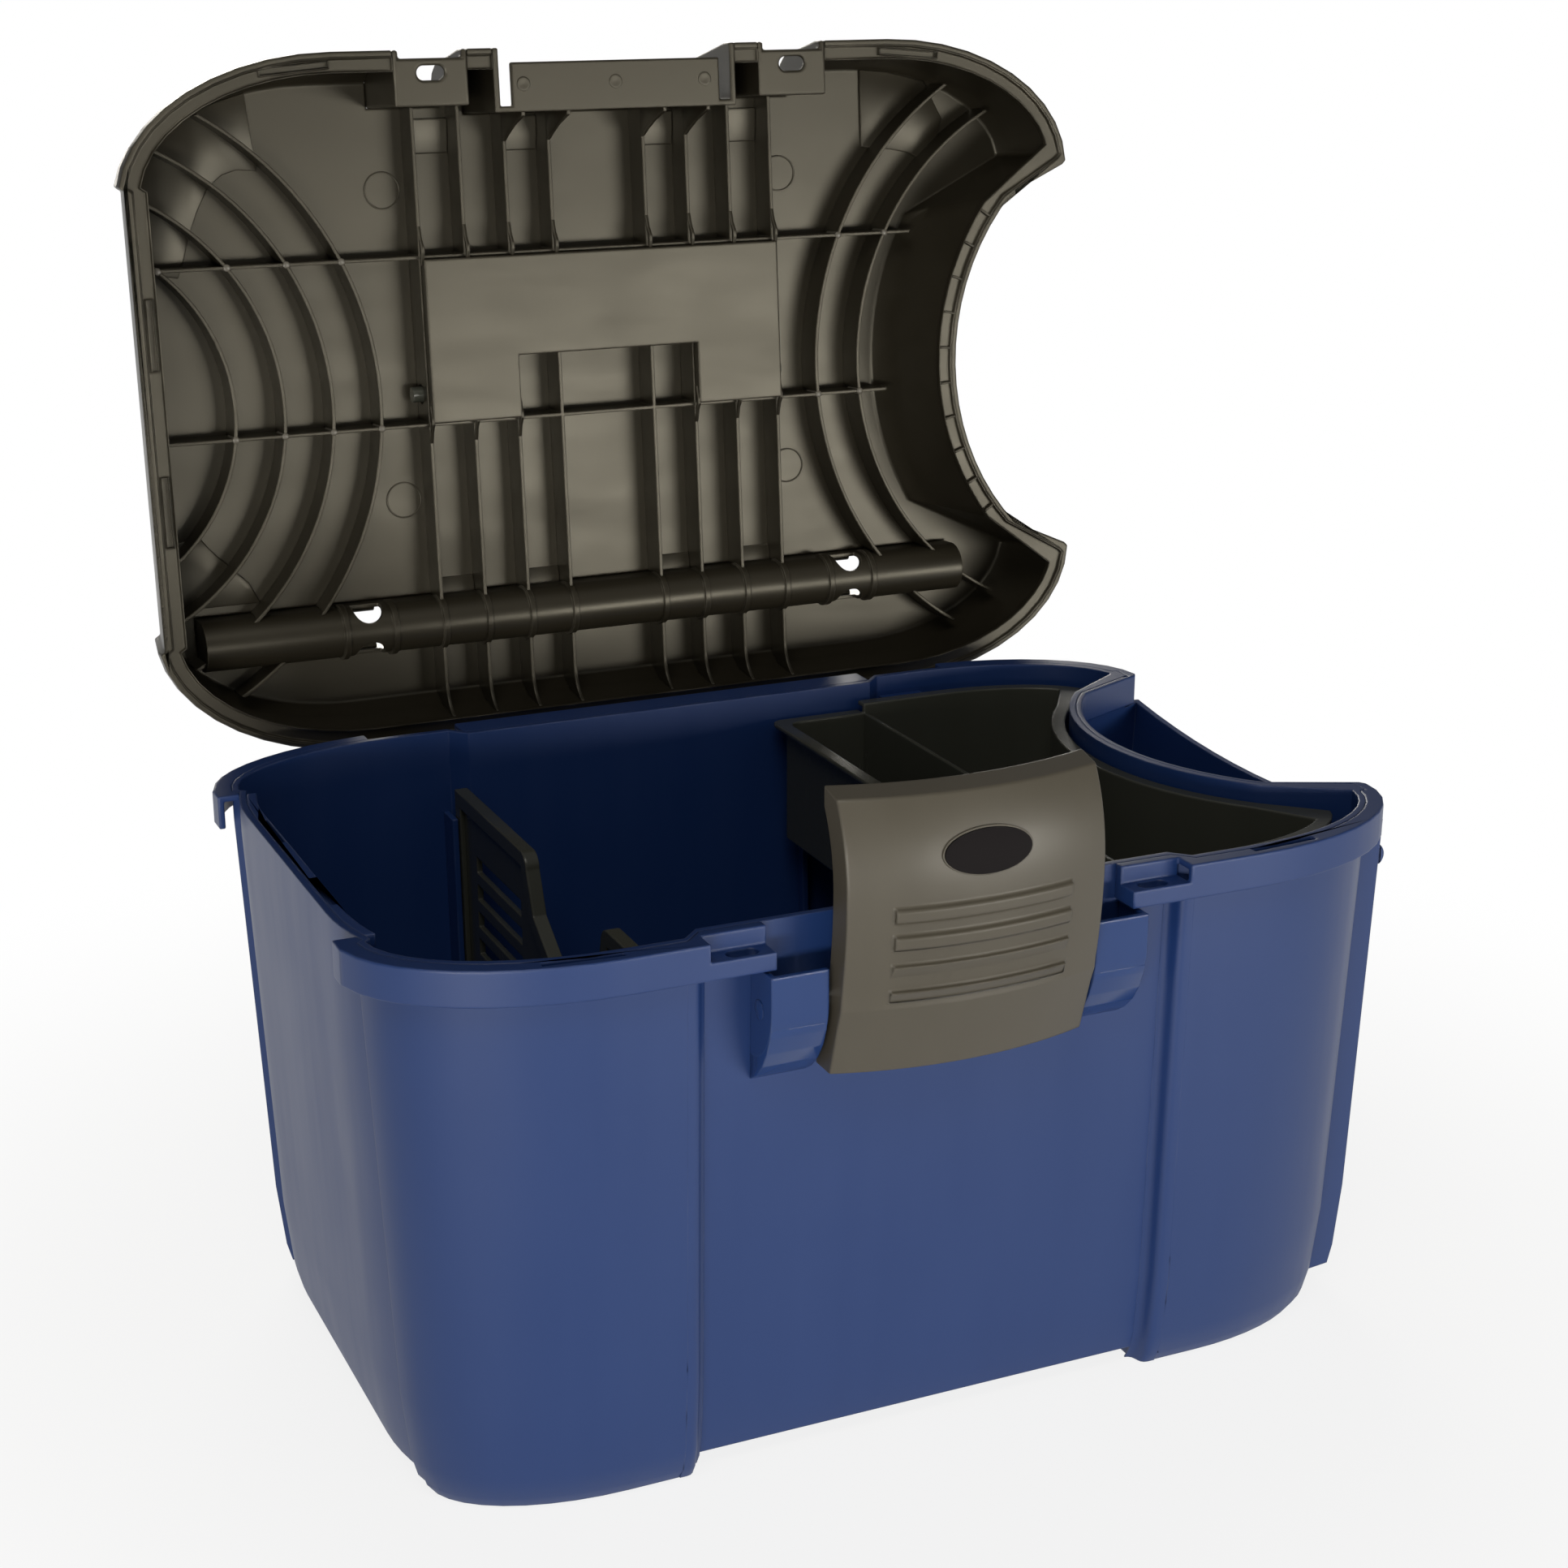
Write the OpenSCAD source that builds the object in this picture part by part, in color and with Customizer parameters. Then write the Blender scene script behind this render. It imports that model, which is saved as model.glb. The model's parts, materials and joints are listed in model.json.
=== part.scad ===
// Horse grooming box: moulded tub with corner pods and an outer bottle pocket, ribbed lid with a
// folding carry handle and a whip groove, rocker latch, lift-out tray and lift-out divider.
// Millimetres, +Z up, front towards -Y, standing on Z = 0 with the tub's plan centre on the Z axis.
// Drawn as it stands open: the lid leans back on its stop, tray and divider in place.

/* [Tub] */
// Half width over the rim band, mm
rim_half_w = 250; // [210:1:300]
// Half depth over the rim band, mm
rim_half_d = 167; // [155:1:185]
// Height of the rim, mm
rim_z = 257; // [220:1:320]
// Half width of the wall just under the rim band, mm
wall_half_w = 241.5; // [205:0.5:290]
// Half depth of the wall just under the rim band, mm
wall_half_d = 159; // [150:1:178]
// Half width of the wall run down to the floor, mm
base_half_w = 231; // [200:1:280]
// Half depth of the wall run down to the floor, mm
base_half_d = 152; // [142:1:158]
// Distance of the corner rounding's centres from the middle, front to back, mm
corner_y = 104; // [98:1:108]
// How much longer the corner rounding runs along the front than along the end, mm
corner_long = 39; // [10:1:60]
// Thickness of the walls, mm
tub_wall = 3.2; // [2.4:0.1:4.5]
// Thickness of the floor, mm
tub_floor = 3.6; // [2.5:0.1:6]
// Height of the feet under the corner pods, mm
foot_h = 8; // [4:0.5:14]
// Height of the rim band, mm
band_h = 16; // [10:0.5:24]
// Half width of the recessed middle panel, front and back, mm
panel_half = 120; // [112:1:140]
// Depth of the recessed middle panel, mm
panel_recess = 8; // [4:0.5:10]
// How far the left end panel stands proud of the pods, mm
end_proud = 2.5; // [1:0.5:8]
// Half length of the left end panel, mm
end_half = 112; // [108:1:116]
// Half length of the gap in the rim band over the left end panel, mm
notch_half = 99; // [80:1:104]
// Edge rounding where the walls tuck in to the floor, inward, mm
tuck = 9; // [2:0.5:11]
// Edge rounding where the walls tuck in to the floor, upward, mm
tuck_h = 50; // [20:1:60]

/* [Bottle pocket] */
// Distance of the curved end wall's nearest point from the middle, mm
c_apex = 172; // [150:1:190]
// Radius of the curved end wall, mm
c_radius = 125; // [110:1:150]
// Half length of the curved stretch, front to back, mm
c_reach = 84; // [70:1:92]
// Half opening of the curved end between the horn tips, mm
c_tip_y = 104; // [98:1:106]
// How far the pocket's outer wall stands proud of the pods, mm
pocket_proud = 15; // [6:0.5:18]
// Height of the pocket's outer edge at its lowest, mm
pocket_edge_z = 231; // [190:1:232]
// Dip of the pocket's outer edge, mm
pocket_dip = 8; // [3:0.5:9]
// Height of the bead along the pocket's outer wall, mm
bead_h = 12; // [8:0.5:16]

/* [Lid] */
// Angle through which the lid opens, degrees
lid_open = 94.3; // [80:0.1:110]
// Half width of the lid over its rim, mm
lid_half_w = 256.5; // [215:0.5:305]
// Half depth of the lid over its rim, mm
lid_half_d = 172; // [165:1:173]
// Height of the lid's hollow, mm
lid_hollow = 52; // [44:1:70]
// Thickness of the lid's walls, mm
lid_wall = 3; // [2.2:0.1:4]
// Inward lean of the lid's sides over their height, mm
lid_lean = 7; // [3:0.5:12]
// Lean of the lid's hollow end over its height, mm
lid_c_lean = 12; // [6:0.5:16]
// Rounding of the lid's upper edge, mm
lid_round = 9; // [4:0.5:12]
// Clearance between the closed lid and the rim, mm
lid_seat_gap = 0.4; // [0.3:0.05:1]
// How far the lid's right end reaches beyond its left end, mm
lid_shift = 3; // [0:0.5:6]
// Distance of the lid's hollow end from the middle, mm
lid_c_apex = 190; // [184:1:200]
// Radius of the lid's hollow end, mm
lid_c_radius = 130; // [110:1:150]
// Half length of the curved stretch of the lid's hollow end, mm
lid_c_reach = 90; // [75:1:94]
// Thickness of the ribs, mm
rib_t = 1.8; // [1.2:0.1:3]
// Height of the ribs, mm
rib_h = 18; // [10:0.5:24]
// Distance of the front cross rib from the middle, mm
rib_front = 70; // [60:1:80]
// Distance of the rear cross rib from the middle, mm
rib_rear = 13; // [8:1:20]
// Distance of the first fore and aft rib from the middle, mm
upright_x = 26; // [20:1:32]
// Spacing of the fore and aft ribs, mm
upright_step = 24; // [18:0.5:28]
// Radius of the innermost arc rib, mm
arc_r0 = 93; // [80:1:100]
// Spacing of the arc ribs, mm
arc_step = 25; // [18:0.5:28]

/* [Handle] */
// Half width of the handle's recess, mm
pan_half_w = 98; // [85:1:110]
// Depth of the handle's recess below the lid's top, mm
pan_deep = 24; // [20:0.5:30]
// Thickness of the recess's walls, mm
pan_wall = 2.6; // [2:0.1:3.5]
// Half width of the island between the handle's arms, mm
island_half = 50; // [40:1:60]
// How far the island reaches forward of the middle, mm
island_front = 19; // [12:1:26]
// Diameter of the handle's grip, mm
grip_d = 17; // [13:0.5:19]
// Length of the handle from pivot to grip, mm
handle_reach = 46; // [40:1:50]
// Width of a handle arm, mm
arm_w = 14; // [10:0.5:16]
// Thickness of a handle arm, mm
arm_t = 10; // [7:0.5:14]
// Diameter of the handle's pivot pins, mm
handle_pin_d = 8; // [5:0.5:9]

/* [Whip groove] */
// Distance of the groove from the middle, towards the hinges, mm
groove_y = 118; // [112:1:124]
// Inside width of the groove, mm
groove_w = 22; // [16:0.5:26]
// Depth of the groove, mm
groove_deep = 25; // [18:0.5:32]
// Thickness of the groove's wall, mm
groove_wall = 2; // [1.5:0.1:3]
// Left end of the groove, mm from the middle
groove_left = 222; // [180:1:226]
// Right end of the groove, mm from the middle
groove_right = 205; // [170:1:210]
// Distance of each retaining place from the middle, mm
clip_x = 138; // [110:1:160]

/* [Latch] */
// Half width of the latch cover, mm
latch_half_w = 60; // [45:1:61]
// Height of the latch cover's lower edge, mm
latch_low_z = 190; // [185:1:205]
// Height of the latch cover's upper edge, mm
latch_top_z = 312; // [300:1:330]
// Height of the latch cover's foremost line, mm
latch_mid_z = 272; // [260:1:285]
// Bow radius of the latch cover, seen from above, mm
latch_bow_r = 200; // [150:1:260]
// Furthest reach of the latch cover in front of the middle, mm
latch_front = 191; // [188:0.5:196]
// Set back of the cover's upper edge behind its foremost line, mm
latch_up_sag = 10; // [4:0.5:14]
// Set back of the cover's lower edge behind its foremost line, mm
latch_dn_sag = 15; // [8:0.5:20]
// Depth of the latch cover's sides, mm
latch_deep = 13; // [10:0.5:15]
// Thickness of the latch cover, mm
latch_wall = 2.8; // [2:0.1:4]
// Length of the badge, mm
badge_len = 40; // [24:1:50]
// Height of the badge, mm
badge_h = 18.5; // [12:0.5:24]
// Half width of the grip bars, mm
bar_half = 41; // [30:1:48]
// Spacing of the grip bars, mm
bar_step = 12; // [9:0.5:14]
// Diameter of the latch's axle, mm
axle_d = 7; // [5:0.5:9]
// Height of the latch's axle, mm
axle_z = 222; // [216:1:228]
// Distance of the latch's axle in front of the middle, mm
axle_y = 160; // [158:0.5:162]
// Running clearance of every pin in its bore, on the radius, mm
pin_clear = 0.05; // [0.03:0.01:0.1]

/* [Hinges] */
// How far the hinge line stands behind the rim band, mm
hinge_out = 7; // [5:0.5:11]
// How far the hinge line lies below the rim, mm
hinge_drop = 16.2; // [13:0.1:21]
// Distance of each hinge from the middle, mm
hinge_x = 137; // [126:1:150]
// Length of each hinge pin, mm
hinge_len = 46; // [36:1:56]
// Diameter of the hinge pins, mm
hinge_pin_d = 6; // [4:0.5:8]
// Outside diameter of the hinge knuckles, mm
knuckle_d = 13; // [10:0.5:14]

/* [Tray] */
// Distance of the tray's left wall from the middle, mm
tray_left = 57; // [40:1:90]
// Half depth of the tray's body, front to back, mm
tray_half_d = 139; // [130:1:140]
// Height of the tray's upper edge, mm
tray_z = 249; // [243:1:252]
// Depth of the tray, mm
tray_deep = 68; // [40:1:90]
// Thickness of the tray, mm
tray_wall = 2.4; // [1.6:0.1:3.5]
// Width of the narrow slot along the tray's left side, mm
tray_slot = 46; // [20:1:60]
// Drop of the slot's edge below the tray's upper edge, mm
tray_step = 5; // [2:0.5:9]
// Width of the tray's flange, mm
tray_flange = 5; // [3:0.5:6]

/* [Divider] */
// Distance of the divider to the left of the middle, mm
divider_x = 117.5; // [116:0.5:118.5]
// Thickness of the divider's border, mm
divider_t = 7; // [5:0.5:9]
// Height of the divider's tall ends, mm
divider_z = 229; // [200:1:236]
// Height of the divider's low middle, mm
divider_low_z = 184; // [120:1:190]
// Rear end of the low middle, behind the tub's middle, mm
divider_rear_y = 38; // [20:1:60]
// Front end of the low middle, in front of the tub's middle, mm
divider_front_y = 60; // [50:1:80]
// Width of the divider's border, mm
divider_border = 8; // [5:0.5:10]
// Thickness of the louvred web, mm
web_t = 3; // [2:0.1:4]
// Height of a louvre opening, mm
louvre_h = 8; // [5:0.5:10]
// Spacing of the louvre openings, mm
louvre_step = 14.5; // [12:0.5:20]

/* [Hidden] */
$fn = 64;
corner_n = 10;
curve_n = 18;
face_n = 10;
over = 1;
side_ramp = 2;
panel_ramp = 8;
tip_back = 2;
bow_n = 4;
bow_edge = 106;
bow_half = 103.5;
bow_flat = 68;
bow_sink = 3;
tip_wall_share = 1.25;
tuck_shares = [0, 0.12, 0.35, 1];
fan_share = 0.175;
lid_reach_share = 0.4;
floor_z = foot_h + tub_floor;
wall_top_z = rim_z - band_h;
c_mid = c_apex + c_radius;
c_turn = asin(c_reach / c_radius);
lid_c_mid = lid_c_apex + lid_c_radius;
band_t = 3;
well_inset = 6;
lip_t = 5;
lip_h = 6;
slot_x = 165;
slot_y = 42.6;
slot_len = 34;
slot_w = 3;
slot_deep = 3;
slot_in = 5.5;
lid_slot_in = 3;
slot_turn = 5;
shelf_in = 84;
shelf_x = 97;
shelf_w = 32;
shelf_drop = 8;
shelf_back = 5;
eye_len = 14;
eye_w = 7;
eye_y = 161;
eye_edge = 168;
bead_drop = 3;
bead_flat_share = 0.25;
socket_in = 63;
socket_out = 89;
socket_front = 172;
socket_low_z = 198;
socket_top_z = 240;
socket_mid_z = 224;
socket_round = 9;
socket_wall = 2.8;
hinge_y = rim_half_d + hinge_out;
hinge_z = rim_z - hinge_drop;
cheek_w = 12;
hinge_side_gap = 0.5;
seat_gap = 0.3;
ledge_gap = 1.5;
ledge_x = 72;
ledge_len = 24;
ledge_h = 12;
ledge_lip = 4;
rail_w = 3;
rail_gap = 0.4;
rail_bite = 6;
rail_top_z = 215;
lid_lip = 8;
lid_notch = 4;
lid_rim_t = 4;
lid_rim_w = 7;
upright_n = 4;
gusset_r = 20;
gusset_turn = 30;
arc_out = 35;
left_arcs = 4;
right_arcs = 2;
bay_gap = 2;
bay_y = 144;
bay_wall = 3;
box_y = 148;
tongue_half = 56;
tongue_y = 165;
tongue_t = 3;
handle_back = 1;
handle_drop = 10;
arm_side_gap = 2;
pin_out = 6;
clip_len = 14;
clip_r = 3;
clip_drop = 2;
clip_hole_d = 16;
collar_w = 3;
collar_t = 1.4;
collar_gap = 13;
turn_half = 24;
latch_bevel = 9;
hook_half = 45;
hook_y = 167;
hook_t = 3.2;
hook_gap = 0.8;
bar_n = 4;
bar_low_z = 225;
bar_h = 7;
bar_out = 2.2;
bar_edge_share = 0.85;
bar_wedge_share = 0.7;
bar_thin_n = 2;
bar_thin_h = 5.6;
crease_z = 222;
crease_sag = 5.4;
ear_r = 7.5;
ear_reach = 12;
axle_end_gap = 0.5;
badge_z = 288;
badge_t = 1.2;
badge_n = 48;
tray_corner = 6;
tray_c_gap = 7;
tray_tip_gap = 8;
divider_gap = 0.6;
divider_round = 8;
divider_lean = 8;
divider_step_z = 201;
divider_mid_y = 4;
divider_rise = 12;
louvre_low_z = 48;
louvre_end = 14;

tub_blue = [0.20, 0.30, 0.55];
lid_grey = [0.33, 0.32, 0.29];
tray_black = [0.08, 0.08, 0.07];
pin_steel = [0.62, 0.63, 0.65];

// Points of an arc about a centre, from one angle to another
function arc(cx, cy, r, a0, a1, n) =
  [for (i = [0:n]) let (a = a0 + (a1 - a0) * i / n) [cx + r * cos(a), cy + r * sin(a)]];
function mix(a, b, t) = a + (b - a) * t;
function backwards(list) = [for (i = [len(list) - 1:-1:0]) list[i]];
// Points of an oval arc, its half axes along X and Y
function oval_arc(cx, cy, rx, ry, a0, a1) =
  [for (i = [0:corner_n]) let (a = a0 + (a1 - a0) * i / corner_n) [cx + rx * cos(a), cy + ry * sin(a)]];
// Straight left end, proud or sunk between the pods
function flat_left(left, proud) =
  [[-left - proud, end_half - side_ramp], [-left - proud, -end_half + side_ramp]];
// Bowed left end, its shoulders sinking to a crease beside the pods
function bow_out(y) = let (t = max(0, abs(y) - bow_flat) / (bow_half - bow_flat))
  end_proud - (end_proud + bow_sink) * t * t;
function bowed_left(left) = let (
    ys = [for (i = [0:bow_n]) mix(bow_half, bow_flat, i / bow_n)])
  [for (y = concat(ys, -backwards(ys))) [-left - bow_out(y), y]];
// Straight right end, proud between the pods
function flat_end(hw, proud, half) =
  [[hw, -half - side_ramp], [hw + proud, -half], [hw + proud, half], [hw, half + side_ramp]];
// Curved right end, hollow between two horn tips
function curved_end(mid, r, turn, tip_x, tip_y) = concat(
  [[tip_x, -tip_y]], arc(mid, 0, r, 180 + turn, 180 - turn, curve_n), [[tip_x, tip_y]]);
// Plan outline, counter-clockwise from the front panel's left step; the corner ovals stop at the ends
function plan(left, right, hd, rec, left_end, left_y, right_end, right_y) = let (
    ry = hd - corner_y, rx = ry + corner_long,
    er = asin(max(0, right_y - corner_y) / ry), el = asin(max(0, left_y - corner_y) / ry)) concat(
  [[-panel_half, -hd], [-panel_half + panel_ramp, -hd + rec],
   [panel_half - panel_ramp, -hd + rec], [panel_half, -hd]],
  oval_arc(right - rx, -corner_y, rx, ry, -90, -er),
  right_end,
  oval_arc(right - rx, corner_y, rx, ry, er, 90),
  [[panel_half, hd], [panel_half - panel_ramp, hd - rec],
   [-panel_half + panel_ramp, hd - rec], [-panel_half, hd]],
  oval_arc(-left + rx, corner_y, rx, ry, 90, 180 - el),
  left_end,
  oval_arc(-left + rx, -corner_y, rx, ry, 180 + el, 270));
// Skin through a stack of outlines with equal point counts, closed by fans about one middle point
module stack(rings, heights, mid) {
  m = len(rings);
  n = len(rings[0]);
  points = concat(
    [for (k = [0:m - 1]) for (p = rings[k]) [p[0], p[1], heights[k]]],
    [[mid[0], mid[1], heights[0]], [mid[0], mid[1], heights[m - 1]]]);
  sides = [for (k = [0:m - 2]) for (i = [0:n - 1]) let (j = (i + 1) % n)
    each [[k * n + i, (k + 1) * n + j, k * n + j], [k * n + i, (k + 1) * n + i, (k + 1) * n + j]]];
  ends = [for (i = [0:n - 1]) let (j = (i + 1) % n)
    each [[m * n, i, j], [m * n + 1, (m - 1) * n + j, (m - 1) * n + i]]];
  polyhedron(points, concat(sides, ends));
}
// Side profile in Y and Z, run along X
module across(x0, x1, points) {
  translate([x0, 0, 0]) rotate([90, 0, 90]) linear_extrude(x1 - x0) polygon(points);
}
// Rod along X
module rod(x0, x1, y, z, d) {
  translate([x0, y, z]) rotate([0, 90, 0]) cylinder(d = d, h = x1 - x0);
}
// Upright prism with round ends, lying along X
module oval(length, width, height) {
  translate([-(length - width) / 2, -width / 2, 0]) cube([length - width, width, height]);
  for (s = [-1, 1]) translate([s * (length - width) / 2, 0, 0]) cylinder(d = width, h = height);
}

// Wall size at a height, with the tuck in to the floor
function rise(z) = min(1, z / wall_top_z);
function tuck_at(z) = z >= tuck_h ? 0 : tuck * (1 - sqrt(1 - pow(1 - z / tuck_h, 2)));
function half_w(z) = mix(base_half_w, wall_half_w, rise(z)) - tuck_at(z);
function half_d(z) = mix(base_half_d, wall_half_d, rise(z)) - tuck_at(z);
function inner_face(z) = half_d(z) - tub_wall;
function panel_face(z) = half_d(z) - panel_recess;
tip_in_y = c_tip_y + tub_wall * tip_wall_share;
function outer_ring(z) = plan(half_w(z), half_w(z), half_d(z), panel_recess, bowed_left(half_w(z)), bow_edge,
  flat_end(half_w(z), pocket_proud, end_half - side_ramp), end_half);
function inner_ring(z, inset) = let (w = half_w(z) - inset, d = half_d(z) - inset)
  plan(w, w, d, panel_recess, bowed_left(w), bow_edge, curved_end(c_mid, c_radius + tub_wall, c_turn,
    w - tip_back, tip_in_y), tip_in_y + side_ramp);
function pocket_ring(z, inset) = let (
    w = half_w(z), out = w + pocket_proud - inset, y = c_tip_y - tub_wall,
    far_y = end_half - side_ramp - tub_wall) concat(
  [[out, -far_y], [out, far_y], [w - tip_back, y]],
  [for (p = arc(c_mid, 0, c_radius, 180 - c_turn, 180 + c_turn, curve_n))
    [min(p[0], w - tip_back - over), p[1]]],
  [[w - tip_back, -y]]);

cavity_z = [floor_z, floor_z + tuck, floor_z + tuck_h, wall_top_z, rim_z + over];
cavity_inset = [tub_wall + tuck, tub_wall + tuck / 2, tub_wall, tub_wall, tub_wall];
cavity_n = len(cavity_z);
module tub_cavity() {
  stack([for (k = [0:cavity_n - 1]) inner_ring(max(cavity_z[k], tuck_h), cavity_inset[k])], cavity_z, [0, 0]);
}
module pocket_cavity() {
  stack([for (k = [0:cavity_n - 1]) pocket_ring(max(cavity_z[k], tuck_h), cavity_inset[k])],
    cavity_z, [base_half_w, 0]);
}
module pocket_mouth() {
  w = wall_half_w;
  far = rim_half_w + 2 * pocket_proud;
  side = end_half + tub_wall;
  polygon(concat(
    arc(c_mid, 0, c_radius, 180 - c_turn, 180 + c_turn, curve_n),
    [[w - tip_back, -c_tip_y + tub_wall], [w + tip_back, -c_tip_y + tub_wall], [w + tip_back, -side],
     [far, -side], [far, side],
     [w + tip_back, side], [w + tip_back, c_tip_y - tub_wall], [w - tip_back, c_tip_y - tub_wall]]));
}
dip_r = (pow(c_tip_y, 2) + pow(pocket_dip, 2)) / (2 * pocket_dip);
module pocket_open_top() {
  intersection() {
    translate([0, 0, pocket_edge_z - over]) linear_extrude(rim_z - pocket_edge_z + 2 * over) pocket_mouth();
    rod(0, rim_half_w + 2 * pocket_proud, 0, pocket_edge_z + dip_r, 2 * dip_r);
  }
}
module foot_gaps() {
  translate([-panel_half + panel_ramp, -rim_half_d, -over])
    cube([2 * (panel_half - panel_ramp), 2 * rim_half_d, foot_h + over]);
  translate([-rim_half_w - end_proud, -end_half, -over])
    cube([2 * (rim_half_w + pocket_proud), 2 * end_half, foot_h + over]);
}
// Hollows over the four feet
module foot_wells() {
  x = panel_half + tub_wall;
  y = end_half + tub_wall;
  intersection() {
    translate([0, 0, tub_floor]) linear_extrude(foot_h + over)
      polygon(inner_ring(tuck_h, tub_wall + tuck + well_inset));
    for (s = [0, 1]) for (e = [0, 1]) mirror([s, 0, 0]) mirror([0, e, 0])
      translate([x, y, 0]) cube([rim_half_w, rim_half_d, floor_z + over]);
  }
}
module tub_shell() {
  z_list = concat([for (t = tuck_shares) t * tuck_h], [wall_top_z, rim_z]);
  color(tub_blue) difference() {
    stack([for (z = z_list) outer_ring(z)], z_list, [0, 0]);
    tub_cavity();
    pocket_cavity();
    pocket_open_top();
    foot_gaps();
    foot_wells();
  }
}

// Rim band: a hollow flange round the pods, along the back and round the curved end
module band_outline() {
  polygon(plan(rim_half_w, rim_half_w, rim_half_d, 0, flat_left(rim_half_w, 0), end_half,
    curved_end(c_mid, c_radius - tub_wall, c_turn, rim_half_w - tip_back, c_tip_y - tub_wall), c_tip_y));
}
module band_hollow() {
  w = rim_half_w - band_t;
  difference() {
    translate([0, 0, wall_top_z - over]) linear_extrude(band_h - band_t + over)
      polygon(plan(w, w, rim_half_d - band_t, 0, flat_left(w, 0), end_half,
        curved_end(c_mid, c_radius + tub_wall, c_turn, w - tip_back, tip_in_y), tip_in_y + side_ramp));
    for (s = [-1, 1]) translate([s * shelf_x - shelf_w / 2, -rim_half_d, wall_top_z - 2 * over])
      cube([shelf_w, rim_half_d, band_h]);
  }
}
module rim_slots(z, height, edge_x, edge_y) {
  for (s = [-1, 1]) {
    translate([s * slot_x, -edge_y, z]) rotate([0, 0, s * slot_turn])
      translate([-slot_len / 2, 0, 0]) cube([slot_len, slot_w, height]);
    translate([-edge_x, s * slot_y - slot_len / 2, z]) cube([slot_w, slot_len, height]);
  }
}
// Lip along the inside of the left end, between the band's ends
module end_lip() {
  intersection() {
    translate([-rim_half_w, -notch_half, rim_z - lip_h]) cube([rim_half_w / 2, 2 * notch_half, lip_h]);
    translate([0, 0, rim_z - lip_h]) linear_extrude(lip_h) difference() {
      polygon(inner_ring(rim_z, tub_wall));
      polygon(inner_ring(rim_z, tub_wall + lip_t));
    }
  }
}
module rim_band() {
  lip_x = wall_half_w + end_proud - tub_wall;
  color(tub_blue) difference() {
    union() {
      difference() {
        translate([0, 0, wall_top_z]) linear_extrude(band_h) band_outline();
        difference() {
          translate([0, 0, wall_top_z - over]) linear_extrude(band_h + 2 * over) polygon(outer_ring(rim_z));
          translate([0, 0, wall_top_z - 2 * over]) linear_extrude(band_h + 4 * over) pocket_mouth();
        }
        band_hollow();
        translate([-rim_half_w - over, -notch_half, wall_top_z - over])
          cube([rim_half_w / 2, 2 * notch_half, band_h + 2 * over]);
      }
      end_lip();
    }
    translate([-shelf_in, -rim_half_d - over, wall_top_z - over])
      cube([2 * shelf_in, rim_half_d, band_h + 2 * over]);
    for (s = [-1, 1]) {
      translate([s * shelf_x - shelf_w / 2, -rim_half_d - over, rim_z - shelf_drop])
        cube([shelf_w, rim_half_d - panel_face(rim_z) - shelf_back + over, band_h]);
      translate([s * shelf_x, -eye_y, wall_top_z - over]) oval(eye_len, eye_w, band_h + 2 * over);
      translate([s * hinge_x - hinge_len / 2 - hinge_side_gap, panel_face(rim_z), wall_top_z - over])
        cube([hinge_len + 2 * hinge_side_gap, rim_half_d, band_h + 2 * over]);
    }
    rim_slots(rim_z - slot_deep, slot_deep + over, lip_x - (lip_t - slot_w) / 2, rim_half_d - slot_in);
  }
}
module pocket_bead() {
  z = pocket_edge_z - bead_h / 2 - bead_drop;
  x = max(half_w(z - bead_h / 2), half_w(z + bead_h / 2)) + pocket_proud;
  bead_half = end_half - side_ramp;
  color(tub_blue) intersection() {
    translate([x - bead_h * bead_flat_share, 0, z]) rotate([90, 0, 0])
      cylinder(d = bead_h, h = 2 * bead_half, center = true);
    translate([x, -bead_half, z - bead_h]) cube([bead_h, 2 * bead_half, 2 * bead_h]);
  }
}
// Open-topped pockets that carry the latch's axle
module latch_sockets() {
  low = socket_low_z;
  top = socket_top_z;
  back = panel_face(low);
  deep = socket_front - back;
  tall = socket_mid_z - low;
  color(tub_blue) for (s = [0, 1]) mirror([s, 0, 0]) difference() {
    across(socket_in, socket_out, concat(oval_arc(-back, socket_mid_z, deep, tall, 270, 180),
      [[-socket_front, top], [-panel_face(top), top]]));
    across(socket_in - over, socket_out - socket_wall, concat([[-back + over, low + 2 * socket_wall]],
      oval_arc(-back, socket_mid_z, deep - socket_wall, tall - 2 * socket_wall, 270, 180),
      [[-socket_front + socket_wall, top + over], [-panel_face(top) + over, top + over]]));
    rod(socket_in - over, socket_out + over, -axle_y, axle_z, axle_d + 2 * pin_clear);
    difference() {
      translate([socket_in - over, -socket_front - over, low - over])
        cube([socket_round + over, socket_front, socket_round + over]);
      translate([socket_in + socket_round, 0, low + socket_round]) rotate([90, 0, 0])
        cylinder(r = socket_round, h = 2 * socket_front);
    }
  }
}
module hinge_brackets() {
  color(tub_blue) for (s = [-1, 1]) for (e = [-1, 1])
    translate([s * hinge_x + e * (hinge_len - cheek_w) / 2 - cheek_w / 2, 0, 0]) difference() {
      union() {
        rod(0, cheek_w, hinge_y, hinge_z, knuckle_d);
        translate([0, wall_half_d, hinge_z - knuckle_d / 2])
          cube([cheek_w, hinge_y - wall_half_d, knuckle_d]);
      }
      rod(-over, cheek_w + over, hinge_y, hinge_z, hinge_pin_d + 2 * pin_clear);
    }
}
module hinge_pins() {
  color(pin_steel) for (s = [-1, 1])
    rod(s * hinge_x - hinge_len / 2, s * hinge_x + hinge_len / 2, hinge_y, hinge_z, hinge_pin_d);
}
// Upright rib on the front wall's inner face
module wall_rib(x, set_in, reach, high) {
  z0 = floor_z + tuck_h;
  y0 = inner_face(z0) - set_in;
  y1 = inner_face(high) - set_in;
  across(x, x + rail_w, [[-y0 + reach, z0], [-y0, z0], [-y1, high], [-y1 + reach, high]]);
}
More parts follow.
